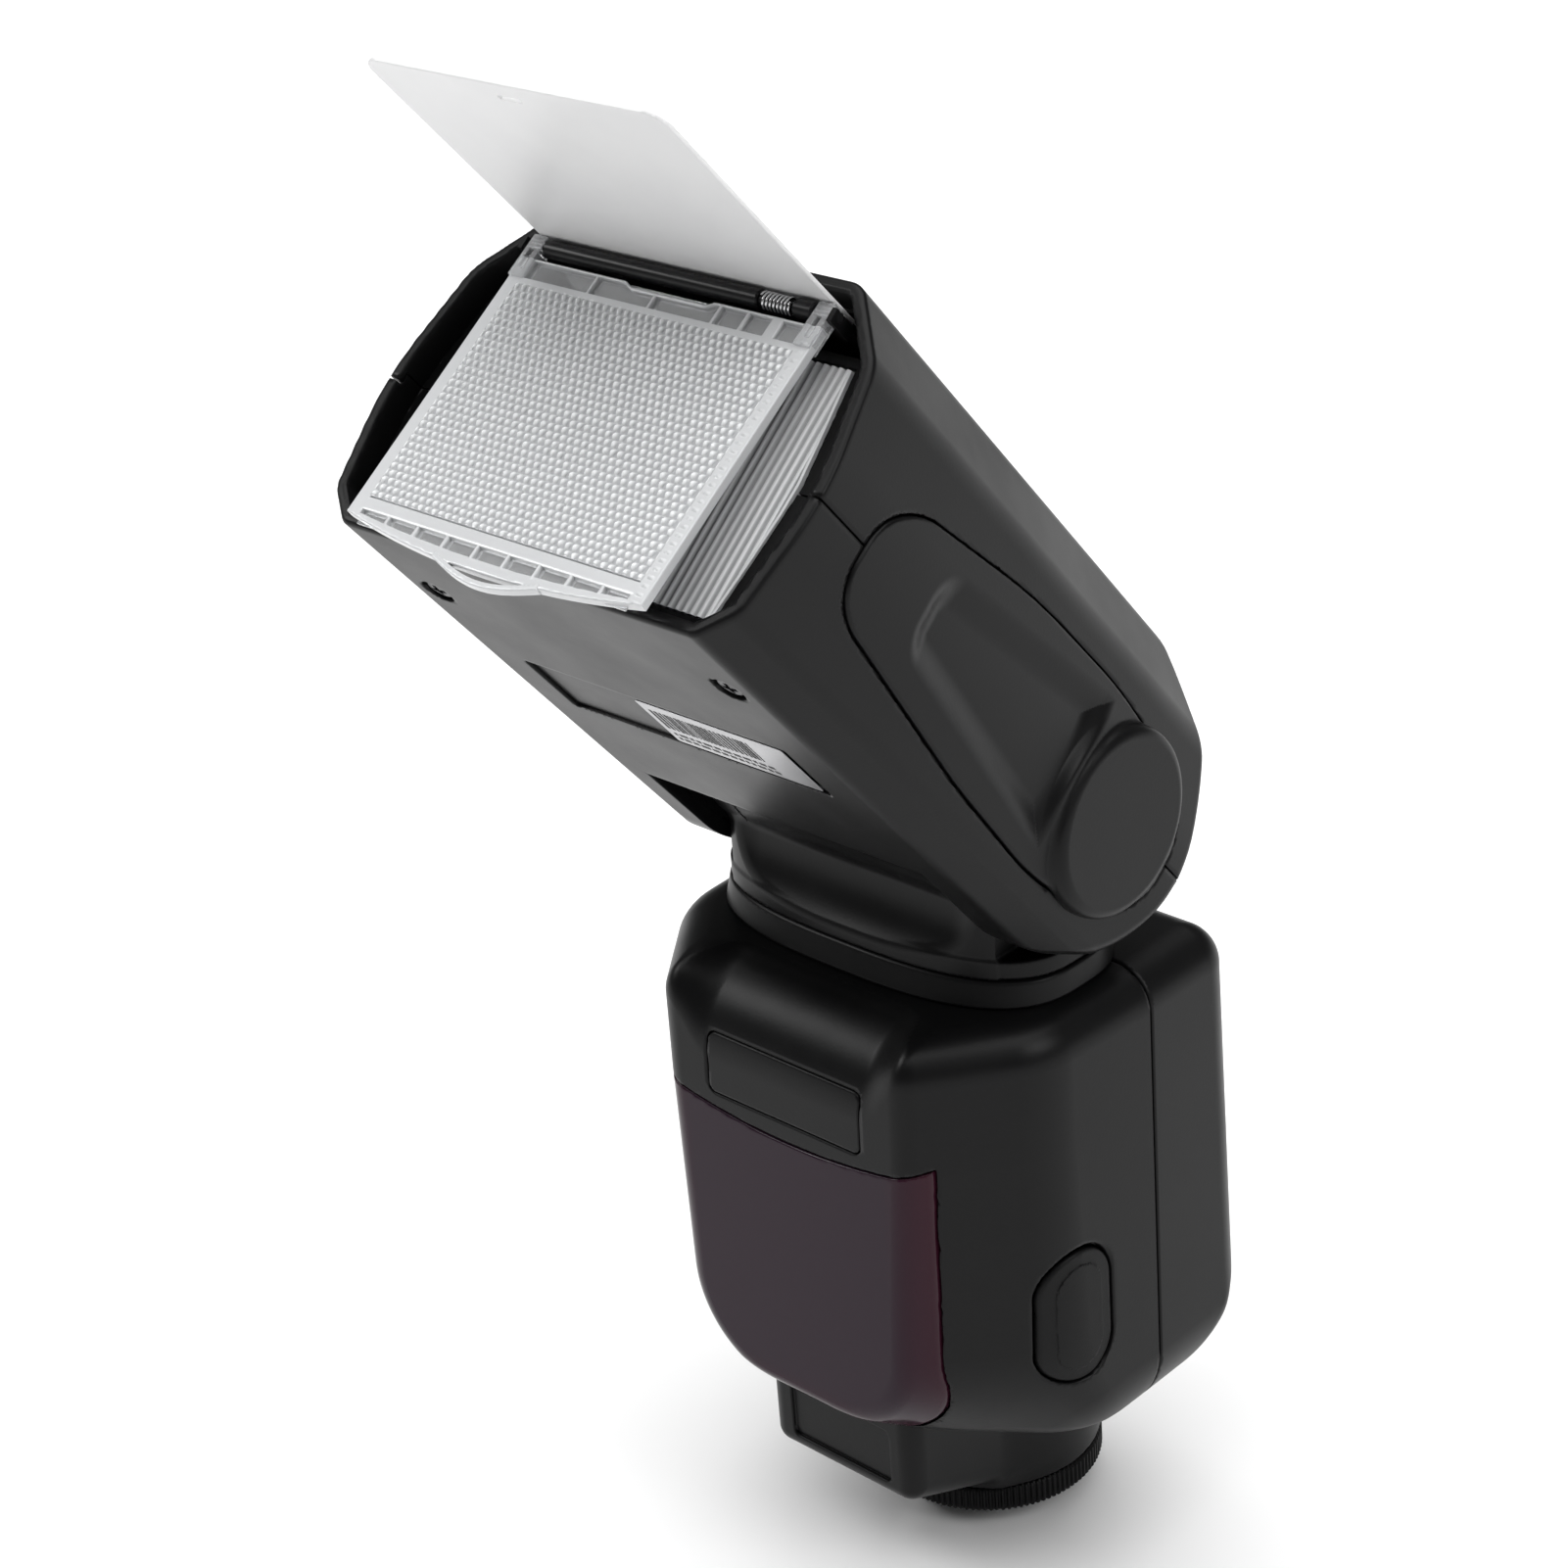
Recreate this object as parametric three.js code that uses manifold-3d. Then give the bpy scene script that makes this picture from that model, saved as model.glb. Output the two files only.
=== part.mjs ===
// Speedlight flash: foot, body, panning neck and tilting head, in millimetres.
// +Z is up, -Y is the front. The origin is the centre of the hot-shoe plate's underside.
import * as THREE from "three";
import { mergeVertices } from "three/addons/utils/BufferGeometryUtils.js";
import Module from "manifold-3d";

// ---- driving dimensions ----
const GAP = 0.3;
const SHOE = { width: 18.6, length: 18, thick: 2, postR: 8.9, postTop: 12 };
const PIN = { r: 0.9, length: 4, bore: 1.25, travel: 0.6 };
const PIN_PLACES = [[0, 2.4], [-5.6, -2.6], [5.6, -2.6], [-2.6, -5.8], [2.6, -5.8]];
const LOCK_PIN = { r: 0.7, y: 6.2 };
const WHEEL = { r: 17.3, bore: 9.3, low: 3.4, high: 7.4, teeth: 40, tooth: 0.35 };
const FOOT = { r: 17.2, low: 7.7, noseHalf: 13.5, noseFront: -32, noseLow: 18.7 };
const BODY = {
  half: 35.4, low: 21.8, high: 99.2, front: -39.8, frontTop: -38.3, rear: 19, rearTop: 17,
  seamY: -1.8, wall: 2, frontHalf: 20.8, bendX: 34.4, bendY: -22,
};
const WINDOW = { half: 24.6, low: 34, high: 80.5, thick: 1.6, corner: 11 };
const AF_COVER = { half: 14.1, low: 81.1, high: 90.3, thick: 1.2 };
const CAP = { y: -18.1, z: 51.6, wide: 13, tall: 22, deep: 0.8, proud: 0.2 };
const DOOR = { edgeX: -28.2, edgeY: -30.1, hingeX: -34.2, hingeY: -3.5, low: 56.5, high: 90.5, thick: 2.2 };
const CELL = { r: 7.1, length: 49, nub: 2.7, pitch: 14.9, y: -15.6, z: 74, left: -24.2 };
const CAPACITOR = { r: 11.5, length: 48, y: -16, z: 45 };
const SCREEN = { half: 24, low: 64, high: 90 };
const NECK = { half: 29.6, depth: 15, low: 99.5, seam: 103.1, holeR: 12.5, spigotR: 11.8 };
const PIVOT = { y: -9.47, z: 126.05 };
const TILT = THREE.MathUtils.degToRad(50.4);
const DRUM = { r: 16.6, half: 24.2, pillar: 11.5 };
const HEAD = {
  front: 81.5, rearR: 19.6, seam: 0.6, seamHalf: 37.5, top: 27.8, topHalf: 26,
  shoulder: 18, shoulderHalf: 34.2, hip: -15.4, hipHalf: 35, low: -19.6, lowHalf: 30.5, wall: 2.2,
};
const NOTCH = { half: 24.8, front: 15.8, top: 13, drumR: 17.2 };
const AXLE = { r: 3.9, half: 34, bossR: 8 };
const COVER = { proud: 0.3, deep: 1.1, bossR: 13.4 };
const LENS = { back: 75.4, thick: 1.8, half: 29.7, low: -15.7, lowHalf: 28, high: 18.6, highHalf: 27.9 };
// The card slides a little nose-down over the rod; its ends are measured from the rod.
const CARD = { half: 24.8, above: 1.65, thick: 0.5, tilt: 0.0324, rear: 6, front: 38.7 };
const ROD = {
  v: 82.1, w: 22.45, r: 1.2, half: 22.7, pinR: 0.6, pinHalf: 26.4, coilLeft: 14.3, coilRight: 19.4,
};
const PANEL = { half: 25.5, front: 1, back: 0.7, tall: 42.1, lean: 0.0785, belly: 2.3, tab: 9, tabDrop: 1.6 };
const REFLECTOR = { half: 22, mouth: 58, back: 40, open: 14.5, thick: 0.8 };
const ZOOM = { screwU: 27.6, screwW: -11.5, screwR: 1.4, motorR: 4.8 };

// ---- materials ----
const finish = (color, roughness, metalness = 0, opacity = 1) =>
  new THREE.MeshStandardMaterial({ color, roughness, metalness, opacity, transparent: opacity < 1 });
const MATERIAL = {
  casing: finish(0x1c1c1d, 0.55),
  dark: finish(0x121213, 0.6),
  rubber: finish(0x151516, 0.8),
  redWindow: finish(0x2c0f1c, 0.1),
  clear: finish(0xf2f4f5, 0.08, 0, 0.4),
  card: finish(0xececec, 0.4),
  steel: finish(0xb4b6b8, 0.25, 1),
  brass: finish(0xc9a24a, 0.3, 1),
  mirror: finish(0xe0e0e2, 0.08, 1),
  board: finish(0x12502c, 0.5),
  cell: finish(0x3a5f8a, 0.4, 0.3),
  sleeve: finish(0x18181c, 0.35),
  screen: finish(0x8a9a86, 0.3),
  label: finish(0xb9babb, 0.35, 0.4),
};

// ---- solids: joins and cuts ----
const wasm = await Module();
wasm.setup();

function solid(geometry) {
  const bare = geometry.index ? geometry.toNonIndexed() : geometry.clone();
  for (const name of Object.keys(bare.attributes)) {
    if (name !== "position") bare.deleteAttribute(name);
  }
  const merged = mergeVertices(bare, 1e-4);
  return new wasm.Manifold(new wasm.Mesh({
    numProp: 3,
    vertProperties: merged.attributes.position.array,
    triVerts: new Uint32Array(merged.index.array),
  }));
}

function geometryOf(shape) {
  const mesh = shape.getMesh();
  const geometry = new THREE.BufferGeometry();
  geometry.setAttribute("position", new THREE.BufferAttribute(mesh.vertProperties, 3));
  geometry.setIndex(new THREE.BufferAttribute(mesh.triVerts, 1));
  return geometry;
}

const join = (first, ...rest) => rest.reduce((sum, one) => sum.add(one), first);
const cut = (first, ...rest) => rest.reduce((left, one) => left.subtract(one), first);
const common = (first, ...rest) => rest.reduce((left, one) => left.intersect(one), first);

// ---- outlines ----
// Corners are [x, y, radius]; each radius becomes an arc of a few straight steps.
function rounded(corners, steps = 4) {
  const at = (i) => new THREE.Vector2(...corners[(i + corners.length) % corners.length]);
  const points = corners.flatMap(([, , radius], i) => {
    const here = at(i);
    if (!radius) return [here];
    const a = at(i - 1).sub(here).normalize();
    const b = at(i + 1).sub(here).normalize();
    const half = Math.acos(a.dot(b)) / 2;
    const centre = a.clone().add(b).normalize().multiplyScalar(radius / Math.sin(half)).add(here);
    const start = a.multiplyScalar(radius / Math.tan(half)).add(here).sub(centre).angle();
    const end = b.multiplyScalar(radius / Math.tan(half)).add(here).sub(centre).angle();
    const turn = THREE.MathUtils.euclideanModulo(end - start + Math.PI, 2 * Math.PI) - Math.PI;
    return Array.from({ length: steps + 1 }, (_, k) =>
      new THREE.Vector2(radius, 0).rotateAround(new THREE.Vector2(), start + (turn * k) / steps).add(centre));
  });
  return new THREE.Shape(points);
}

// The right half of a symmetric outline, from bottom to top, mirrored to the left.
const mirrored = (half, steps) =>
  rounded([...half, ...half.map(([x, y, r]) => [-x, y, r]).reverse()], steps);

const rectangle = (x0, x1, y0, y1, r = 0, steps = 3) =>
  rounded([[x0, y0, r], [x1, y0, r], [x1, y1, r], [x0, y1, r]], steps);

function superEllipse(half, depth, centreY, power = 3, count = 40) {
  const side = (value) => Math.sign(value) * Math.abs(value) ** (2 / power);
  return new THREE.Shape(Array.from({ length: count }, (_, i) => {
    const angle = (2 * Math.PI * i) / count;
    return new THREE.Vector2(half * side(Math.cos(angle)), centreY + depth * side(Math.sin(angle)));
  }));
}

// ---- prisms and round solids ----
const extruded = (shape, depth) => new THREE.ExtrudeGeometry(shape, { depth, bevelEnabled: false, steps: 1 });
const axes = (x, y, z) => new THREE.Matrix4().makeBasis(
  new THREE.Vector3(...x), new THREE.Vector3(...y), new THREE.Vector3(...z));

const alongZ = (shape, z0, z1) => solid(extruded(shape, z1 - z0).translate(0, 0, z0));
// An outline of (x, z) points, extruded from y1 towards the front, y0.
const alongY = (shape, y0, y1) =>
  solid(extruded(shape, y1 - y0).applyMatrix4(axes([1, 0, 0], [0, 0, 1], [0, -1, 0])).translate(0, y1, 0));
// An outline of (y, z) points, extruded along X.
const alongX = (shape, x0, x1) =>
  solid(extruded(shape, x1 - x0).applyMatrix4(axes([0, 1, 0], [0, 0, 1], [1, 0, 0])).translate(x0, 0, 0));
const block = (x0, x1, y0, y1, z0, z1) => solid(new THREE.BoxGeometry(x1 - x0, y1 - y0, z1 - z0)
  .translate((x0 + x1) / 2, (y0 + y1) / 2, (z0 + z1) / 2));

const rodZ = (r, x, y, z0, z1, count = 16) =>
  solid(new THREE.CylinderGeometry(r, r, z1 - z0, count).rotateX(Math.PI / 2).translate(x, y, (z0 + z1) / 2));
const rodX = (r, y, z, x0, x1, count = 16) =>
  solid(new THREE.CylinderGeometry(r, r, x1 - x0, count).rotateZ(-Math.PI / 2)
    .translate((x0 + x1) / 2, y, z));
const rodY = (r, x, z, y0, y1, count = 16) =>
  solid(new THREE.CylinderGeometry(r, r, y1 - y0, count).translate(x, (y0 + y1) / 2, z));

// ---- the scene graph ----
const flash = new THREE.Group();
const head = new THREE.Group();
head.position.set(0, PIVOT.y, PIVOT.z);
head.rotation.x = -TILT;
flash.add(head);

function piece(name, shape, material, parent = flash) {
  const mesh = new THREE.Mesh(geometryOf(shape), material);
  mesh.name = name;
  parent.add(mesh);
}

// ---- foot ----
function makeFoot() {
  const { width, length, thick, postR, postTop } = SHOE;
  const plate = alongZ(rectangle(-width / 2, width / 2, -length / 2, length / 2, 1.2), 0, thick);
  const pinBores = PIN_PLACES.map(([x, y]) => rodZ(PIN.bore, x, y, -1, PIN.length + PIN.travel + 0.4, 10));
  const lockBore = rodZ(LOCK_PIN.r + GAP, 0, LOCK_PIN.y, -1, 9, 10);
  piece("shoe_plate", cut(plate, ...pinBores, lockBore), MATERIAL.steel);
  const post = rodZ(postR, 0, 0, thick + GAP, postTop, 32);
  piece("shoe_post", cut(post, ...pinBores, lockBore), MATERIAL.dark);
  PIN_PLACES.forEach(([x, y], i) =>
    piece("contact_pin_" + (i + 1), rodZ(PIN.r, x, y, 0.02, PIN.length, 10), MATERIAL.brass));
  piece("shoe_lock_pin", rodZ(LOCK_PIN.r, 0, LOCK_PIN.y, 1.2, 8.4, 10), MATERIAL.steel);

  const rim = Array.from({ length: 2 * WHEEL.teeth }, (_, i) =>
    new THREE.Vector2(WHEEL.r - (i % 2) * WHEEL.tooth, 0)
      .rotateAround(new THREE.Vector2(), (Math.PI * i) / WHEEL.teeth));
  const wheel = alongZ(new THREE.Shape(rim), WHEEL.low, WHEEL.high);
  piece("lock_wheel", cut(wheel, rodZ(WHEEL.bore, 0, 0, 0, 10, 32)), MATERIAL.dark);

  const nose = alongX(rounded([
    [FOOT.noseFront, FOOT.noseLow, 2], [-12, FOOT.low + 1.5, 0], [0, FOOT.low + 1.5, 0],
    [0, BODY.low - GAP, 0], [-12, BODY.low + 2.4, 0], [FOOT.noseFront, 31.4, 0],
  ]), -FOOT.noseHalf, FOOT.noseHalf);
  const noseEnds = alongZ(rectangle(-FOOT.noseHalf, FOOT.noseHalf, FOOT.noseFront - 0.1, 10, 3), 5, 40);
  const base = rodZ(FOOT.r, 0, 0, FOOT.low, BODY.low - GAP, 36);
  const postHole = rodZ(SHOE.postR + GAP, 0, 0, 0, SHOE.postTop + GAP, 32);
  piece("foot_block", cut(join(base, common(nose, noseEnds)), postHole, bodyShape(-GAP)), MATERIAL.dark);
}

// ---- body ----
// The body is what its outlines from above, from the side and from the front have in common.
function bodyShape(inset) {
  const { half, low, high, front, frontTop, rear, rearTop, frontHalf, bendX, bendY, seamY } = BODY;
  const t = inset;
  const plan = mirrored([
    [frontHalf - 0.5 * t, front + t, 3.5], [bendX - t, bendY + 0.3 * t, 12],
    [half - t, seamY, 0], [half - t, rear - t, Math.max(5 - t, 1)],
  ]);
  const side = rounded([
    [front + t, 34 + t, 3], [-22, 26.8 + t, 0], [0, low + t, 0], [9, low + t, 6],
    [rear - t, 37 + t, 6], [rearTop - t, high - t, 6], [frontTop + t, high - t, 8],
  ]);
  const face = mirrored([[25.6 - 0.4 * t, low + t, 5], [half - t, 31.8 + t, 9], [half - t, high - t, 8]]);
  return common(alongZ(plan, low - 5, high + 5), alongX(side, -40, 40), alongY(face, front - 5, rear + 5));
}

function windowOutline(grow) {
  const { half, low, high, corner } = WINDOW;
  return rounded([
    [-half - grow, low - grow, corner], [half + grow, low - grow, corner],
    [half + grow, high + grow, 0], [0, high - 3 + grow, 0], [-half - grow, high + grow, 0],
  ]);
}

const capOutline = (grow) => rectangle(
  CAP.y - CAP.wide / 2 - grow, CAP.y + CAP.wide / 2 + grow,
  CAP.z - CAP.tall / 2 - grow, CAP.z + CAP.tall / 2 + grow, CAP.wide / 2 + grow - 0.01, 5);

// The battery door from above: its front edge is cut square to the slanted corner face.
function doorOutline(grow, rear) {
  const along = new THREE.Vector2(BODY.frontHalf - BODY.bendX, BODY.bendY - BODY.front).normalize();
  const edge = new THREE.Vector2(DOOR.edgeX, DOOR.edgeY).addScaledVector(along, -grow);
  const outward = new THREE.Vector2(-along.y, along.x);
  const inner = edge.clone().addScaledVector(outward, -4);
  const outer = edge.clone().addScaledVector(outward, 9);
  const beyond = -45;
  return new THREE.Shape([
    inner, outer, new THREE.Vector2(beyond, outer.y), new THREE.Vector2(beyond, rear),
    new THREE.Vector2(inner.x, rear)]);
}

const BUTTONS = {
  soft_key_1: rectangle(-22, -13, 56, 60, 1.2), soft_key_2: rectangle(-10.5, -1.5, 56, 60, 1.2),
  soft_key_3: rectangle(1.5, 10.5, 56, 60, 1.2), soft_key_4: rectangle(13, 22, 56, 60, 1.2),
  mode_button: rectangle(-25, -17, 41.5, 47, 2.2), test_button: rectangle(17, 25, 41.5, 47, 2.2),
};
const DIAL = { z: 43.5, r: 10.5, bore: 5.6, setR: 5, face: 20.2 };
const SWITCH = { x: 20.5, z: 37.2 };

function makeBody() {
  const outer = bodyShape(0);
  const inner = bodyShape(BODY.wall);
  const neckHole = rodZ(NECK.holeR, 0, PIVOT.y, 90, 110, 28);
  const frontRegion = block(-40, 40, -50, BODY.seamY - GAP / 2, 0, 120);
  const rearRegion = block(-40, 40, BODY.seamY + GAP / 2, 40, 0, 120);
  const skin = cut(outer, inner, neckHole);

  const windowSkin = cut(bodyShape(0), bodyShape(WINDOW.thick));
  const redWindow = common(windowSkin, alongY(windowOutline(0), -50, -26));
  piece("receiver_window", redWindow, MATERIAL.redWindow);
  const windowHole = alongY(windowOutline(GAP), -50, -25.6);

  const { half, low, high, thick } = AF_COVER;
  const cover = (grow) => rectangle(-half - grow, half + grow, low - grow, high + grow, 1);
  const coverSkin = cut(bodyShape(0), bodyShape(thick));
  piece("af_cover", common(coverSkin, alongY(cover(0), -50, -30)), MATERIAL.casing);
  const coverPocket = cut(alongY(cover(GAP), -50, -30), bodyShape(thick + GAP));

  const capHole = join(alongX(capOutline(-1.6), 24, 40),
    cut(alongX(capOutline(GAP), 24, 40), bodyShape(CAP.deep + GAP)));
  const doorHole = alongZ(doorOutline(GAP, BODY.seamY + 1), DOOR.low - GAP, DOOR.high + GAP);
  piece("body_front_shell", common(cut(skin, windowHole, coverPocket, capHole, doorHole), frontRegion),
    MATERIAL.casing);

  const capFlange = common(cut(bodyShape(-CAP.proud), bodyShape(CAP.deep)), alongX(capOutline(0), 24, 40));
  const capPlug = common(cut(bodyShape(0), bodyShape(BODY.wall + 0.3)), alongX(capOutline(-2.2), 24, 40));
  piece("terminal_cap", join(capFlange, capPlug), MATERIAL.rubber);
  const sockets = [CAP.z - 3.6, CAP.z + 2.4].map((z) => rodX(1.8, CAP.y, z, 27, 40, 12));
  const socketBlock = block(26.3, 29, CAP.y - 3.5, CAP.y + 3.5, CAP.z - 8, CAP.z + 6.2);
  piece("socket_block", cut(socketBlock, ...sockets), MATERIAL.dark);

  const screenHole = alongY(rectangle(-SCREEN.half, SCREEN.half, SCREEN.low, SCREEN.high, 2), 10, 30);
  const buttonHoles = Object.values(BUTTONS).map((shape) => {
    const box = new THREE.Box2().setFromPoints(shape.getPoints()).expandByScalar(GAP);
    return block(box.min.x, box.max.x, 10, 30, box.min.y, box.max.y);
  });
  const dialHole = rodY(DIAL.r + GAP, 0, DIAL.z, 10, 30, 28);
  const switchHole = block(SWITCH.x - 5.5, SWITCH.x + 5.5, 10, 30, SWITCH.z - 1.6, SWITCH.z + 1.6);
  piece("body_rear_shell",
    common(cut(skin, screenHole, ...buttonHoles, dialHole, switchHole), rearRegion), MATERIAL.casing);
}

function makeBatteries() {
  const { hingeX, hingeY, low: doorLow, high: doorHigh, thick } = DOOR;
  const leaf = common(cut(bodyShape(0), bodyShape(thick)), alongZ(doorOutline(0, hingeY), doorLow, doorHigh));
  const barrel = rodZ(thick / 2, hingeX, hingeY, doorLow, doorHigh, 16);
  piece("battery_door", join(leaf, barrel), MATERIAL.casing);
  const { y, z, pitch, r, length, nub, left } = CELL;
  const tongue = rounded([[-31.5, -5, 0], [-31.5, -14, 0], [left - 1.9, -22, 0], [left - 1.5, -21.4, 0],
    [-30.9, -13.6, 0], [-30.9, -5, 0]]);
  piece("door_contact", alongZ(tongue, z - 12, z + 12), MATERIAL.brass);

  const places = [-0.5, 0.5].flatMap((a) => [-0.5, 0.5].map((b) => [y + a * pitch, z + b * pitch]));
  const bores = places.map(([cy, cz]) => rodX(r + GAP, cy, cz, -40, left + length + GAP, 16));
  const trayBlock = alongX(rectangle(y - 15, y + 15, z - 15.3, z + 15.3, 4), left + 0.4, left + length + 1);
  piece("battery_tray", cut(common(trayBlock, bodyShape(BODY.wall + GAP)), ...bores), MATERIAL.dark);
  places.forEach(([cy, cz], i) => {
    const can = rodX(r, cy, cz, left, left + length, 16);
    piece("cell_" + (i + 1), join(can, rodX(nub, cy, cz, left - 1, left + 1, 10)), MATERIAL.cell);
  });
}

function makeElectronics() {
  const { r, length, y, z } = CAPACITOR;
  piece("main_capacitor", rodX(r, y, z, -length / 2, length / 2, 24), MATERIAL.sleeve);
  piece("power_board", block(-24, 24, -0.6, 1, 33, 57.5), MATERIAL.board);
  piece("control_board", block(-29, 29, 8.6, 10.2, 36, 92), MATERIAL.board);
  const glass = rectangle(-SCREEN.half + GAP, SCREEN.half - GAP, SCREEN.low + GAP, SCREEN.high - GAP, 1.8);
  piece("display_window", common(alongY(glass, 14, 30), cut(bodyShape(0.1), bodyShape(1.3))), MATERIAL.clear);
  piece("display_panel", block(-22.5, 22.5, 11.4, 13.6, 66, 89), MATERIAL.screen);
  for (const [name, shape] of Object.entries(BUTTONS)) {
    const box = new THREE.Box2().setFromPoints(shape.getPoints());
    const rearHere = BODY.rear + ((box.min.y - 37) / (BODY.high - 37)) * (BODY.rearTop - BODY.rear);
    piece(name, alongY(shape, 11.6, rearHere + 0.9), MATERIAL.rubber);
  }
  const ring = rodY(DIAL.r, 0, DIAL.z, 13, DIAL.face, 28);
  piece("dial_ring", cut(ring, rodY(DIAL.bore, 0, DIAL.z, 10, 30, 20)), MATERIAL.dark);
  piece("set_button", rodY(DIAL.setR, 0, DIAL.z, 11.6, DIAL.face - 0.4, 20), MATERIAL.rubber);
  const slider = join(
    block(SWITCH.x - 4.9, SWITCH.x - 0.9, 13, 19.6, SWITCH.z - 1.2, SWITCH.z + 1.2),
    block(SWITCH.x - 5, SWITCH.x + 2, 12.4, 13.6, SWITCH.z - 2.4, SWITCH.z + 2.4));
  piece("power_switch", slider, MATERIAL.dark);
}

// ---- neck ----
function makeNeck() {
  const { half, depth, low, seam, holeR, spigotR } = NECK;
  const ring = alongZ(superEllipse(half + 0.4, depth + 0.4, PIVOT.y), low, seam);
  piece("neck_collar", cut(ring, rodZ(holeR, 0, PIVOT.y, 90, 110, 28)), MATERIAL.casing);

  const base = alongZ(superEllipse(half, depth, PIVOT.y), seam + GAP, seam + 2.8);
  const flare = depth - 3.5;
  const pillar = alongX(rounded([
    [PIVOT.y - flare, seam + 0.8, 0], [PIVOT.y + flare, seam + 0.8, 0], [PIVOT.y + DRUM.pillar, 110, 0],
    [PIVOT.y + DRUM.pillar, PIVOT.z, 0], [PIVOT.y - DRUM.pillar, PIVOT.z, 0], [PIVOT.y - DRUM.pillar, 110, 0],
  ]), -DRUM.half, DRUM.half);
  const drum = rodX(DRUM.r, PIVOT.y, PIVOT.z, -DRUM.half, DRUM.half, 36);
  const spigot = rodZ(spigotR, 0, PIVOT.y, 91, seam + 1, 28);
  const bore = rodX(AXLE.r + 0.05, PIVOT.y, PIVOT.z, -40, 40, 20);
  const wireWay = rodZ(5, 0, PIVOT.y, 85, 112, 16);
  piece("yoke", cut(join(base, pillar, drum, spigot), bore, wireWay), MATERIAL.dark);
  const clip = rodZ(14.4, 0, PIVOT.y, 93.2, 95.4, 28);
  const clipWay = block(-6, 6, PIVOT.y - 20, PIVOT.y, 90, 97);
  piece("pan_clip", cut(clip, rodZ(spigotR + GAP, 0, PIVOT.y, 90, 97, 28), clipWay), MATERIAL.steel);
  piece("tilt_axle", rodX(AXLE.r - 0.05, PIVOT.y, PIVOT.z, -AXLE.half, AXLE.half, 20), MATERIAL.steel);
}

// ---- head, in its own frame: origin on the tilt axis, front towards -Y, top towards +Z ----
function headShape(inset, openFront = false) {
  const t = inset;
  const section = mirrored([
    [HEAD.lowHalf - 0.6 * t, HEAD.low + t, 1.5], [HEAD.hipHalf - t, HEAD.hip + 0.4 * t, 1.5],
    [HEAD.seamHalf - t, HEAD.seam, 0], [HEAD.shoulderHalf - t, HEAD.shoulder - 0.3 * t, 2],
    [HEAD.topHalf - 0.6 * t, HEAD.top - t, 2],
  ], 2);
  const r = HEAD.rearR - t;
  const steps = 10;
  const arc = Array.from({ length: 2 * steps + 1 }, (_, i) => {
    const angle = -Math.PI / 2 + (Math.PI * i) / (2 * steps);
    const rise = Math.sin(angle) > 0 ? HEAD.top - t : r;
    return new THREE.Vector2(r * Math.cos(angle), rise * Math.sin(angle));
  });
  const front = -HEAD.front - (openFront ? 2 : 0);
  const side = new THREE.Shape([
    new THREE.Vector2(front, HEAD.low + t), ...arc, new THREE.Vector2(front, HEAD.top - t),
  ]);
  return common(alongY(section, front, HEAD.rearR + 5), alongX(side, -45, 45));
}

// Front end, straight flanks and round rear end of the side cover.
const coverOutline = (grow) => rounded([
  [-70.6 - grow, -4.2, 3.5], [-65.5, -7.4 - grow, 4], [-32, -11.8 - grow, 12], [-4, -13.6 - grow, 12],
  [13.6 + grow, -8, 9], [13.6 + grow, 8, 9], [-4, 13.6 + grow, 9],
  [-36, 13 + grow, 20], [-64, 9 + grow, 6], [-70.6 - grow, 3, 4],
], 3);

function lensOutline(grow) {
  const { half, low, lowHalf, high, highHalf } = LENS;
  return mirrored([
    [lowHalf + grow, low - grow, 2.5], [half + grow, 3, 0], [highHalf + grow, high + grow, 1],
  ], 3);
}

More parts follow.
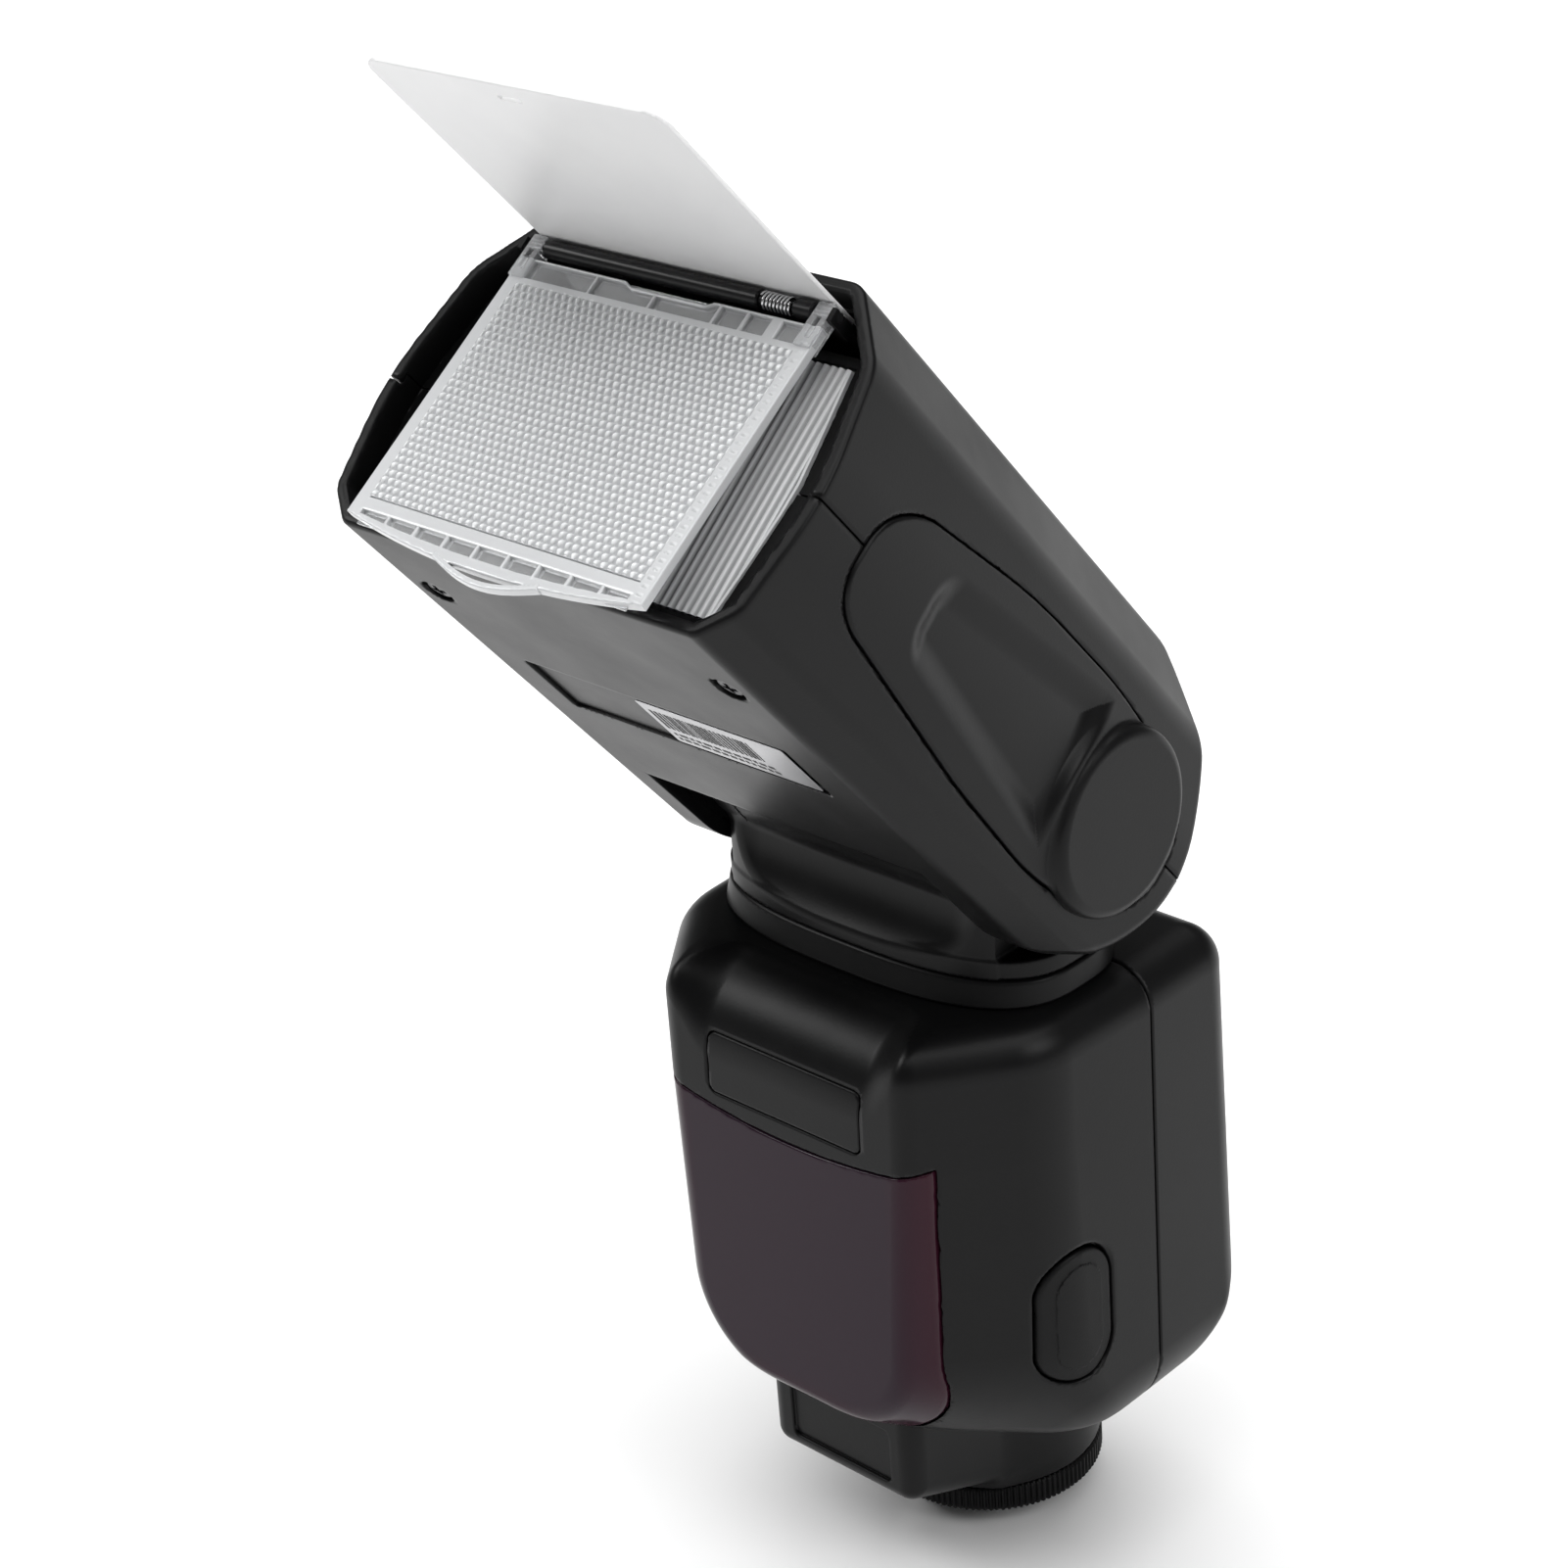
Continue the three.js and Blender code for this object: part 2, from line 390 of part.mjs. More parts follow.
function makeHeadShells() {
  const outer = headShape(0);
  const { half, front, top, drumR } = NOTCH;
  const notch = join(
    block(-half, half, -front, 40, -40, 0), block(-half, half, 0, 40, -1, top),
    rodX(drumR, 0, 0, -half, half, 36));
  const cheekWall = NOTCH.half + 1.8;
  const cavity = cut(headShape(HEAD.wall, true), block(-cheekWall, cheekWall, -18.4, 40, -40, 40));
  const roof = common(headShape(HEAD.wall), block(-half, half, -18.5, 40, -40, 40));
  const bosses = [-1, 1].map((side) => {
    const [a, b] = side > 0 ? [NOTCH.half + 0.5, 37] : [-37, -NOTCH.half - 0.5];
    return common(rodX(AXLE.bossR, 0, 0, a, b, 20), outer);
  });
  const bore = rodX(AXLE.r + 0.15, 0, 0, -36, 36, 20);
  const recess = [-1, 1].map((side) => {
    const [a, b] = side > 0 ? [30, 42] : [-42, -30];
    return cut(alongX(coverOutline(GAP), a, b), headShape(COVER.deep + GAP));
  });
  const screwHoles = [-1, 1].map((side) => rodZ(2.2, side * 25.5, -66, -25, HEAD.low + 1.5, 12));
  const labelPocket = block(-22.9, 22.9, -49.3, -36.7, -25, HEAD.low + 0.5);
  const slotHalf = CARD.half + 0.5;
  const cardAt = (y, side) => ROD.w + CARD.above + CARD.tilt * (y + ROD.v) + side * (CARD.thick / 2 + GAP);
  const slot = alongX(rounded([[-90, cardAt(-90, -1), 0], [-30, cardAt(-30, -1), 0],
    [-30, cardAt(-30, 1), 0], [-90, cardAt(-90, 1), 0]]), -slotHalf, slotHalf);
  const ledge = cut(
    common(headShape(HEAD.wall - 0.3, true), block(-40, 40, -LENS.back - LENS.thick, -LENS.back, -40, 20.2)),
    alongY(lensOutline(GAP), -90, -70));
  const casing = cut(join(cut(outer, cavity, roof), ...bosses, ledge), notch, bore, ...recess, ...screwHoles,
    labelPocket, slot);
  const upper = block(-45, 45, -90, 30, HEAD.seam + GAP / 2, 40);
  const lower = block(-45, 45, -90, 30, -40, HEAD.seam - GAP / 2);
  piece("head_upper_shell", common(casing, upper), MATERIAL.casing, head);
  piece("head_lower_shell", common(casing, lower), MATERIAL.casing, head);

  for (const [name, side] of [["side_cover_left", 1], ["side_cover_right", -1]]) {
    const [a, b] = side > 0 ? [30, 42] : [-42, -30];
    const skin = common(cut(headShape(-COVER.proud), headShape(COVER.deep)), alongX(coverOutline(0), a, b));
    const [c, d] = side > 0 ? [36, 38.2] : [-38.2, -36];
    const boss = cut(rodX(COVER.bossR, 0, 0, c, d, 32), headShape(COVER.deep));
    piece(name, join(skin, boss), MATERIAL.casing, head);
  }
  for (const [name, side] of [["head_screw_left", 1], ["head_screw_right", -1]]) {
    const slotA = block(side * 25.5 - 1.1, side * 25.5 + 1.1, -66.3, -65.7, -19.7, HEAD.low + 0.8);
    const slotB = block(side * 25.5 - 0.3, side * 25.5 + 0.3, -67.1, -64.9, -19.7, HEAD.low + 0.8);
    const screw = rodZ(1.9, side * 25.5, -66, HEAD.low + 0.2, HEAD.low + 1.3, 12);
    piece(name, cut(screw, slotA, slotB), MATERIAL.steel, head);
  }
  piece("rating_label", block(-3.3, 22, -48.6, -37.4, HEAD.low + 0.05, HEAD.low + 0.2), MATERIAL.label, head);
}

function makeOptics() {
  piece("lens", alongY(lensOutline(0), -LENS.back - LENS.thick, -LENS.back), MATERIAL.clear, head);

  // The wide panel, in a frame whose origin is on the rod: it hangs along -Z, with its face towards -Y.
  const { half, front, back, tall, lean, belly, tab, tabDrop } = PANEL;
  const outline = rounded([
    [-half, -tall, 1], [-half * 0.6, -tall - belly * 0.8, 0], [-tab, -tall - belly, 0],
    [-tab / 2, -tall - belly - tabDrop * 0.75, 0], [0, -tall - belly - tabDrop, 0],
    [tab / 2, -tall - belly - tabDrop * 0.75, 0], [tab, -tall - belly, 0],
    [half * 0.6, -tall - belly * 0.8, 0], [half, -tall, 1], [half, -2, 0], [-half, -2, 0],
  ], 2);
  const plate = alongY(outline, -front, back);
  const knuckleR = 1.3;
  const arms = [[-half, -ROD.half - GAP], [ROD.half + GAP, half]].map(([a, b]) => cut(
    join(rodX(knuckleR, 0, 0, a, b, 16), block(a, b, -front, back, -4, 0)),
    rodX(ROD.pinR + 0.2, 0, 0, a - 1, b + 1, 12)));
  const panel = new THREE.Group();
  panel.position.set(0, -ROD.v, ROD.w);
  panel.rotation.x = -lean;
  head.add(panel);
  piece("wide_panel", join(plate, ...arms), MATERIAL.clear, panel);

  // The rod is turned down between two shoulders, where the coil spring sits.
  const onRod = (r, a, b) => rodX(r, -ROD.v, ROD.w, a, b, 16);
  const { coilLeft, coilRight } = ROD;
  const neck = ROD.r * 0.65;
  const rod = join(
    onRod(ROD.r, -ROD.half, coilLeft - GAP), onRod(neck, coilLeft - 1, coilRight + 1),
    onRod(ROD.r, coilRight + GAP, ROD.half), onRod(ROD.pinR, -ROD.pinHalf, ROD.pinHalf));
  piece("hinge_rod", rod, MATERIAL.dark, head);
  const coil = cut(onRod(ROD.r, coilLeft, coilRight), onRod(neck + 0.1, coilLeft - 1, coilRight + 1));
  piece("hinge_spring", coil, MATERIAL.steel, head);
  const shelf = ROD.w + 0.1;
  const ears = [-1, 1].map((side) => {
    const [a, b] = side > 0 ? [half + GAP, half + 1] : [-half - 1, -half - GAP];
    return block(a, b, -ROD.v - 1.3, -ROD.v + 3, ROD.w - 1.3, shelf + 0.4);
  });
  const carrier = join(block(-half - 0.7, half + 0.7, -ROD.v + 2.6, -52, shelf, shelf + 0.8), ...ears);
  piece("panel_carrier", cut(carrier, rodX(ROD.pinR + 0.1, -ROD.v, ROD.w, -40, 40, 12)), MATERIAL.dark, head);

  const card = alongZ(rounded([
    [-CARD.half, CARD.rear, 0], [-CARD.half, -CARD.front, 3], [CARD.half, -CARD.front, 3],
    [CARD.half, CARD.rear, 0],
  ]), -CARD.thick / 2, CARD.thick / 2);
  const cardFrame = new THREE.Group();
  cardFrame.position.set(0, -ROD.v, ROD.w + CARD.above);
  cardFrame.rotation.x = CARD.tilt;
  head.add(cardFrame);
  piece("bounce_card", card, MATERIAL.card, cardFrame);
}

function makeLamp() {
  const { half, mouth, back, open, thick } = REFLECTOR;
  const bowl = (grow) => Array.from({ length: 9 }, (_, i) => {
    const w = ((open + grow) * (i - 4)) / 4;
    return new THREE.Vector2(-back + grow - (mouth - back) * (w / (open + grow)) ** 2, w);
  });
  const trough = new THREE.Shape([...bowl(thick), ...bowl(0).reverse()]);
  const ends = [-1, 1].map((side) => {
    const [a, b] = side > 0 ? [half - thick, half] : [-half, -half + thick];
    return alongX(new THREE.Shape(bowl(thick)), a, b);
  });
  piece("reflector", join(alongX(trough, -half, half), ...ends), MATERIAL.mirror, head);
  const tubeHalf = half - thick - GAP;
  piece("flash_tube", rodX(1.9, -back - 5, 0, -tubeHalf, tubeHalf, 14), MATERIAL.clear, head);

  const { screwU, screwW, screwR, motorR } = ZOOM;
  const arm = block(-16, screwU + 3, -back + 1.2, -back + 5.4, screwW - 3, 6);
  const nut = rodY(screwR + GAP, screwU, screwW, -back - 5, -back + 15, 12);
  piece("zoom_carriage", cut(arm, nut), MATERIAL.dark, head);
  piece("zoom_screw", rodY(screwR, screwU, screwW, -62, -24, 12), MATERIAL.steel, head);
  piece("zoom_motor", rodY(motorR, screwU, screwW, -74, -62.4, 18), MATERIAL.steel, head);
}

makeFoot();
makeBody();
makeBatteries();
makeElectronics();
makeNeck();
makeHeadShells();
makeOptics();
makeLamp();

export default flash;
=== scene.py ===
"""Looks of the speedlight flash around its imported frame. Shapes are given in millimetres."""

import math

import bmesh
import bpy
import numpy as np
from mathutils import Matrix, Vector


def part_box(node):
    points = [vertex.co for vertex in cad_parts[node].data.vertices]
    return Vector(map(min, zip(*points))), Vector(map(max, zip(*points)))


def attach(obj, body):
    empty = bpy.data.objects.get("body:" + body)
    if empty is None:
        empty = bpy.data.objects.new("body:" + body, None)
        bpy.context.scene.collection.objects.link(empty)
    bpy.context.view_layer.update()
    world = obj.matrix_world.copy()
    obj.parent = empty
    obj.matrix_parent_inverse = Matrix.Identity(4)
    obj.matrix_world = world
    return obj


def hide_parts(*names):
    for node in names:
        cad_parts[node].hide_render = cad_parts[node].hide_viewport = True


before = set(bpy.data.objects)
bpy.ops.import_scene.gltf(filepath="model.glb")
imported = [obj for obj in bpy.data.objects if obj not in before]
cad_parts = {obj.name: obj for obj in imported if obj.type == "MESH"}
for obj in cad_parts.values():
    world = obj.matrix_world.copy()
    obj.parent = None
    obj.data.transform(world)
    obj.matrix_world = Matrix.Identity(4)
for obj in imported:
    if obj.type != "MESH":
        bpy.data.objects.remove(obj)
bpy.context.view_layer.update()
MM = 0.001
COARSE = 1.0

# ---- dimensions that repeat the frame's, in millimetres ----
TILT = math.radians(50.4)
PIVOT_Y, PIVOT_Z = -9.47, 126.05
GAP = 0.3


def box_mm(node):
    low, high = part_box(node)
    return low / MM, high / MM


# ---- frames in the head: the tilt axis, the panel on its rod, and the card over it ----
HEAD_MATRIX = Matrix(((1, 0, 0, 0),
                      (0, -math.cos(TILT), math.sin(TILT), PIVOT_Y),
                      (0, math.sin(TILT), math.cos(TILT), PIVOT_Z),
                      (0, 0, 0, 1)))
ROD_V, ROD_W = 82.1, 22.45
CARD_RISE, CARD_TILT = 1.65, 0.0324
HANG = 0.0785
PANEL_MATRIX = HEAD_MATRIX @ Matrix(((1, 0, 0, 0),
                                     (0, math.cos(HANG), math.sin(HANG), ROD_V),
                                     (0, math.sin(HANG), -math.cos(HANG), ROD_W),
                                     (0, 0, 0, 1)))
CARD_MATRIX = HEAD_MATRIX @ Matrix(((1, 0, 0, 0),
                                    (0, math.cos(CARD_TILT), math.sin(CARD_TILT), ROD_V),
                                    (0, -math.sin(CARD_TILT), math.cos(CARD_TILT), ROD_W + CARD_RISE),
                                    (0, 0, 0, 1)))
BUMP_A, BUMP_H = 1.21, 1.08


# ---- fields: negative inside, in millimetres ----
def rmax(a, b, r, c=0.0):
    """Intersection of two solids with an edge of radius r; c is the cosine between their faces' normals."""
    a1, b1 = a + r, b + r
    flat = np.maximum(a, b)
    arc = np.sqrt(np.maximum(a1 * a1 + b1 * b1 - 2 * a1 * b1 * c, 0)) / math.sqrt(1 - c * c) - r
    return np.where((a1 > b1 * c) & (b1 > a1 * c), np.maximum(arc, flat), flat)


def rmin(a, b, r):
    """Union of two solids with a fillet of radius r."""
    return -rmax(-a, -b, r)


def both(*fields):
    out = fields[0]
    for one in fields[1:]:
        out = np.maximum(out, one)
    return out


def either(*fields):
    out = fields[0]
    for one in fields[1:]:
        out = np.minimum(out, one)
    return out


def convex(corners):
    """Distance to a convex outline of (x, y, radius) corners, anticlockwise, as a function of x and y."""
    count = len(corners)
    lines = []
    for i in range(count):
        (x0, y0, _), (x1, y1, _) = corners[i], corners[(i + 1) % count]
        size = math.hypot(x1 - x0, y1 - y0)
        lines.append(((y1 - y0) / size, (x0 - x1) / size, x0, y0))

    def value(x, y):
        flat = [nx * (x - x0) + ny * (y - y0) for nx, ny, x0, y0 in lines]
        out = flat[0]
        for one in flat[1:]:
            out = np.maximum(out, one)
        for i, (_, _, r) in enumerate(corners):
            if not r:
                continue
            n1, n2 = lines[i - 1], lines[i]
            c = n1[0] * n2[0] + n1[1] * n2[1]
            s = math.sqrt(max(1 - c * c, 1e-9))
            a, b = flat[i - 1] + r, flat[i] + r
            arc = np.sqrt(np.maximum(a * a + b * b - 2 * a * b * c, 0)) / s - r
            out = np.where((a > b * c) & (b > a * c), np.maximum(arc, out), out)
        return out

    return value


def mirrored(half):
    """An outline from its right half, bottom to top."""
    return convex(half + [(-x, y, r) for x, y, r in reversed(half)])


def rect(x0, x1, y0, y1, r=0.0):
    return convex([(x0, y0, r), (x1, y0, r), (x1, y1, r), (x0, y1, r)])


def ball2(a, b, ca, cb, r):
    return np.sqrt((a - ca) ** 2 + (b - cb) ** 2) - r


def slab(a, low, high):
    return np.maximum(low - a, a - high)


def smooth(a, low, high):
    t = np.clip((a - low) / (high - low), 0, 1)
    return t * t * (3 - 2 * t)


# ---- skins from fields ----
def contour(field, low, high, pitch):
    """Corners and quads of the surface field = 0, by dual contouring, so that creases stay crisp."""
    pitch = pitch * COARSE
    grid = [np.arange(a - 1.37 * pitch, b + 2 * pitch, pitch) for a, b in zip(low, high)]
    values = field(grid[0][:, None, None], grid[1][None, :, None], grid[2][None, None, :])
    values = np.broadcast_to(values, tuple(len(g) for g in grid))
    inside = values < 0
    size = np.array(values.shape)
    points, quads, flips = [], [], []
    for axis in range(3):
        here = [slice(None)] * 3
        there = [slice(None)] * 3
        here[axis], there[axis] = slice(0, -1), slice(1, None)
        for other in range(3):
            if other != axis:
                here[other] = there[other] = slice(1, -1)
        crossing = inside[tuple(here)] != inside[tuple(there)]
        index = np.argwhere(crossing)
        if not len(index):
            continue
        for other in range(3):
            if other != axis:
                index[:, other] += 1
        step = np.zeros(3, int)
        step[axis] = 1
        v0 = values[tuple(index.T)]
        v1 = values[tuple((index + step).T)]
        t = v0 / (v0 - v1)
        p = np.stack([grid[k][index[:, k]] for k in range(3)], 1)
        p[:, axis] += t * pitch
        points.append(p)
        b, c = [k for k in range(3) if k != axis]
        if axis == 1:
            b, c = c, b
        around = []
        for db, dc in ((0, 0), (-1, 0), (-1, -1), (0, -1)):
            cell = index.copy()
            cell[:, b] += db
            cell[:, c] += dc
            around.append(np.ravel_multi_index(cell.T, size))
        quads.append(np.stack(around, 1))
        flips.append(v0 < 0)
    points = np.concatenate(points)
    quads = np.concatenate(quads)
    flips = np.concatenate(flips)
    normals = slope(field, points)
    cells, where = np.unique(quads, return_inverse=True)
    where = where.reshape(quads.shape)
    number = len(cells)

    def gather(weights):
        return sum(np.bincount(where[:, k], weights, number) for k in range(4))

    counts = gather(np.ones(len(points)))
    centre = np.stack([gather(points[:, k]) / counts for k in range(3)], 1)
    matrix = np.zeros((number, 3, 3))
    side = np.zeros((number, 3))
    for i in range(3):
        for j in range(i, 3):
            matrix[:, i, j] = matrix[:, j, i] = gather(normals[:, i] * normals[:, j])
        side[:, i] = gather(normals[:, i] * np.sum(normals * points, 1))
    pull = 0.06
    side = side - np.einsum("nij,nj->ni", matrix, centre)
    matrix = matrix + pull * np.eye(3)
    shift = np.linalg.solve(matrix, side[:, :, None])[:, :, 0]
    shift = np.clip(shift, -0.75 * pitch, 0.75 * pitch)
    quads = np.where(flips[:, None], where[:, ::-1], where)
    return centre + shift, quads[:, ::-1]


def slope(field, points, step=0.02):
    """Unit gradient of a field at a list of points."""
    x, y, z = points.T
    out = np.stack([field(x + step, y, z) - field(x - step, y, z),
                    field(x, y + step, z) - field(x, y - step, z),
                    field(x, y, z + step) - field(x, y, z - step)], 1)
    return out / np.maximum(np.linalg.norm(out, axis=1, keepdims=True), 1e-9)


def new_mesh(name, corners, faces, material, matrix=None, smooth_angle=35):
    """A mesh object from millimetre corners; matrix takes them to the row frame."""
    corners = np.asarray(corners, float)
    if matrix is not None:
        m = np.array(matrix)
        corners = corners @ m[:3, :3].T + m[:3, 3]
        if np.linalg.det(m[:3, :3]) < 0:
            faces = [list(f)[::-1] for f in faces]
    mesh = bpy.data.meshes.new(name)
    mesh.from_pydata((corners * MM).tolist(), [], [list(map(int, f)) for f in faces])
    mesh.polygons.foreach_set("use_smooth", [True] * len(mesh.polygons))
    mesh.set_sharp_from_angle(angle=math.radians(smooth_angle))
    mesh.materials.append(material)
    obj = bpy.data.objects.new(name, mesh)
    bpy.context.scene.collection.objects.link(obj)
    return obj


def skin(name, field, low, high, pitch, material, matrix=None, keep=0.3):
    """A closed piece from a field, thinned where it is flat, with its shading taken from the field."""
    corners, faces = contour(field, low, high, pitch)
    obj = new_mesh(name, corners, faces, material, matrix)
    thin = obj.modifiers.new("thin", "DECIMATE")
    thin.ratio = keep
    graph = bpy.context.evaluated_depsgraph_get()
    lean = bpy.data.meshes.new_from_object(obj.evaluated_get(graph))
    obj.modifiers.clear()
    old = obj.data
    obj.data = lean
    bpy.data.meshes.remove(old)
    lean.name = name
    turn = np.eye(3) if matrix is None else np.array(matrix)[:3, :3]
    shift = np.zeros(3) if matrix is None else np.array(matrix)[:3, 3]
    co = np.empty(len(lean.vertices) * 3)
    lean.vertices.foreach_get("co", co)
    co = (co.reshape(-1, 3) / MM - shift) @ turn
    loops = np.empty(len(lean.loops), int)
    lean.loops.foreach_get("vertex_index", loops)
    totals = np.empty(len(lean.polygons), int)
    lean.polygons.foreach_get("loop_total", totals)
    owner = np.repeat(np.arange(len(totals)), totals)
    middle = np.stack([np.bincount(owner, co[loops, k]) for k in range(3)], 1) / totals[:, None]
    facing = np.empty(len(lean.polygons) * 3)
    lean.polygons.foreach_get("normal", facing)
    facing = facing.reshape(-1, 3)[owner]
    normals = slope(field, co[loops] * 0.88 + middle[owner] * 0.12) @ turn.T
    # where the field bends too quickly for its own face, the face's normal is truer
    bad = np.sum(normals * facing, 1) < 0.5
    normals[bad] = facing[bad]
    lean.polygons.foreach_set("use_smooth", [True] * len(lean.polygons))
    lean.normals_split_custom_set(normals.tolist())
    lean.update()
    return obj


def stands_for(obj, body, slot, *nodes):
    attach(obj, body)
    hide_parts(*nodes)
    return obj


# ---- meshes from profiles and outlines ----
AXES = {"x": ((1, 0, 0), (0, 1, 0), (0, 0, 1)), "y": ((0, 1, 0), (0, 0, 1), (1, 0, 0)),
        "z": ((0, 0, 1), (1, 0, 0), (0, 1, 0))}


def turned(name, profile, steps, material, centre, axis, wave=None, closed=False, matrix=None):
    """A turned piece: (place along the axis, radius) points swept round it. wave changes the radius."""
    along, across, up = (np.array(a, float) for a in AXES[axis])
    centre = np.array(centre, float)
    points = profile[:-1] if closed else profile
    corners, faces = [], []
    for i in range(steps):
        angle = 2 * math.pi * i / steps
        ray = across * math.cos(angle) + up * math.sin(angle)
        for place, radius in points:
            corners.append(centre + along * place + ray * (radius + (wave(i, radius) if wave else 0)))
    size = len(points)
    rings = size if closed else size - 1
    for i in range(steps):
        j = (i + 1) % steps
        for k in range(rings):
            m = (k + 1) % size
            faces.append((size * i + k, size * i + m, size * j + m, size * j + k))
    obj = new_mesh(name, corners, faces, material, matrix, smooth_angle=40)
    form = bmesh.new()
    form.from_mesh(obj.data)
    bmesh.ops.remove_doubles(form, verts=form.verts, dist=1e-7)
    bmesh.ops.dissolve_degenerate(form, edges=form.edges, dist=1e-7)
    bmesh.ops.recalc_face_normals(form, faces=form.faces)
    form.to_mesh(obj.data)
    form.free()
    return obj


def tube(name, path, radius, sides, material, matrix=None):
    """A round wire along a path of points."""
    path = np.array(path, float)
    heading = np.gradient(path, axis=0)
    heading /= np.linalg.norm(heading, axis=1, keepdims=True)
    first = np.cross(heading, (1.0, 0.0, 0.0))
    first /= np.linalg.norm(first, axis=1, keepdims=True)
    second = np.cross(heading, first)
    corners, faces = [], []
    for p, a, b in zip(path, first, second):
        for k in range(sides):
            angle = 2 * math.pi * k / sides
            corners.append(p + radius * (a * math.cos(angle) + b * math.sin(angle)))
    for i in range(len(path) - 1):
        for k in range(sides):
            m = (k + 1) % sides
            faces.append((sides * i + k, sides * i + m, sides * (i + 1) + m, sides * (i + 1) + k))
    faces.append(list(range(sides))[::-1])
    faces.append(list(range(sides * (len(path) - 1), sides * len(path))))
    return new_mesh(name, corners, faces, material, matrix, smooth_angle=60)


def rounded_points(x0, x1, y0, y1, r, steps=5):
    out = []
    quarters = ((x1 - r, y1 - r, 0), (x0 + r, y1 - r, 90), (x0 + r, y0 + r, 180), (x1 - r, y0 + r, 270))
    for cx, cy, start in quarters:
        for k in range(steps + 1):
            angle = math.radians(start + 90 * k / steps)
            out.append((cx + r * math.cos(angle), cy + r * math.sin(angle)))
    return out


def plate(name, outline, low, high, edge, material, matrix=None):
    """A thin plate with broken edges."""
    middle = np.mean(outline, axis=0)
    outline = np.array(outline, float)
    inner = middle + (outline - middle) * (1 - edge / np.abs(outline - middle).max())
    rings = ((inner, low), (outline, low + edge), (outline, high - edge), (inner, high))
    corners = [(x, y, z) for ring, z in rings for x, y in ring]
    size = len(outline)
    faces = [list(range(size))[::-1], list(range(3 * size, 4 * size))]
    for k in range(3):
        for i in range(size):
            j = (i + 1) % size
            faces.append((k * size + i, k * size + j, (k + 1) * size + j, (k + 1) * size + i))
    return new_mesh(name, corners, faces, material, matrix)


# ---- materials ----
def principled(name, color, roughness, **more):
    material = bpy.data.materials.new(name)
    material.use_nodes = True
    tree = material.node_tree
    shader = tree.nodes["Principled BSDF"]
    shader.inputs["Base Color"].default_value = (*color, 1)
    shader.inputs["Roughness"].default_value = roughness
    for key, value in more.items():
        shader.inputs[key.replace("_", " ")].default_value = value
    return material, tree, shader


def noise(tree, scale, detail=2.0, rough=0.5):
    place = tree.nodes.new("ShaderNodeTexCoord")
    node = tree.nodes.new("ShaderNodeTexNoise")
    node.inputs["Scale"].default_value = scale
    node.inputs["Detail"].default_value = detail
    node.inputs["Roughness"].default_value = rough
    tree.links.new(place.outputs["Object"], node.inputs["Vector"])
    return node


def ramp(tree, source, low, high, a, b):
    node = tree.nodes.new("ShaderNodeMapRange")
    node.inputs["From Min"].default_value = low
    node.inputs["From Max"].default_value = high
    node.inputs["To Min"].default_value = a
    node.inputs["To Max"].default_value = b
    tree.links.new(source, node.inputs["Value"])
    return node.outputs["Result"]


def tint(tree, shader, source, low, high, a, b):
    node = tree.nodes.new("ShaderNodeMix")
    node.data_type = "RGBA"
    factor = ramp(tree, source, low, high, 0, 1)
    tree.links.new(factor, node.inputs["Factor"])
    node.inputs["A"].default_value = (*a, 1)
    node.inputs["B"].default_value = (*b, 1)
    tree.links.new(node.outputs["Result"], shader.inputs["Base Color"])


def bump(tree, shader, source, distance, strength=1.0):
    node = tree.nodes.new("ShaderNodeBump")
    node.inputs["Distance"].default_value = distance
    node.inputs["Strength"].default_value = strength
    tree.links.new(source, node.inputs["Height"])
    tree.links.new(node.outputs["Normal"], shader.inputs["Normal"])


def moulded(name, color, roughness, grain=2600, depth=0.00001, spread=0.07):
    """Moulded plastic: a fine spark-eroded grain, slight cloudiness and worn, shinier patches."""
    material, tree, shader = principled(name, color, roughness)
    shader.inputs["Specular IOR Level"].default_value = 0.14
    fine = noise(tree, grain, 3, 0.6)
    bump(tree, shader, fine.outputs["Fac"], depth)
    wide = noise(tree, 55, 4, 0.6)
    rough = ramp(tree, wide.outputs["Fac"], 0.3, 0.7, roughness - spread / 2, roughness + spread / 2)
    tree.links.new(rough, shader.inputs["Roughness"])
    dark = tuple(c * 0.82 for c in color)
    light = tuple(c * 1.2 for c in color)
    tint(tree, shader, wide.outputs["Fac"], 0.25, 0.75, dark, light)
    return material


def metal(name, color, roughness, grain=900, spread=0.1):
    """Metal with fine brushing and slightly uneven polish."""
    material, tree, shader = principled(name, color, roughness, Metallic=1.0)
    fine = noise(tree, grain, 2)
    bump(tree, shader, fine.outputs["Fac"], 0.000004)
    wide = noise(tree, 120, 3)
    rough = ramp(tree, wide.outputs["Fac"], 0.3, 0.7, roughness - spread / 2, roughness + spread / 2)
    tree.links.new(rough, shader.inputs["Roughness"])
    tint(tree, shader, wide.outputs["Fac"], 0.3, 0.7, tuple(c * 0.9 for c in color), color)
    return material


def clear(name, color, roughness, transmission):
    material, tree, shader = principled(name, color, roughness, IOR=1.49)
    shader.inputs["Transmission Weight"].default_value = transmission
    fine = noise(tree, 300, 2)
    bump(tree, shader, fine.outputs["Fac"], 0.000006)
    rough = ramp(tree, fine.outputs["Fac"], 0.3, 0.7, roughness, roughness + 0.05)
    tree.links.new(rough, shader.inputs["Roughness"])
    return material, tree, shader


def math_node(tree, operation, *values):
    node = tree.nodes.new("ShaderNodeMath")
    node.operation = operation
    for i, value in enumerate(values):
        if isinstance(value, (int, float)):
            node.inputs[i].default_value = value
        else:
            tree.links.new(value, node.inputs[i])
    return node.outputs[0]


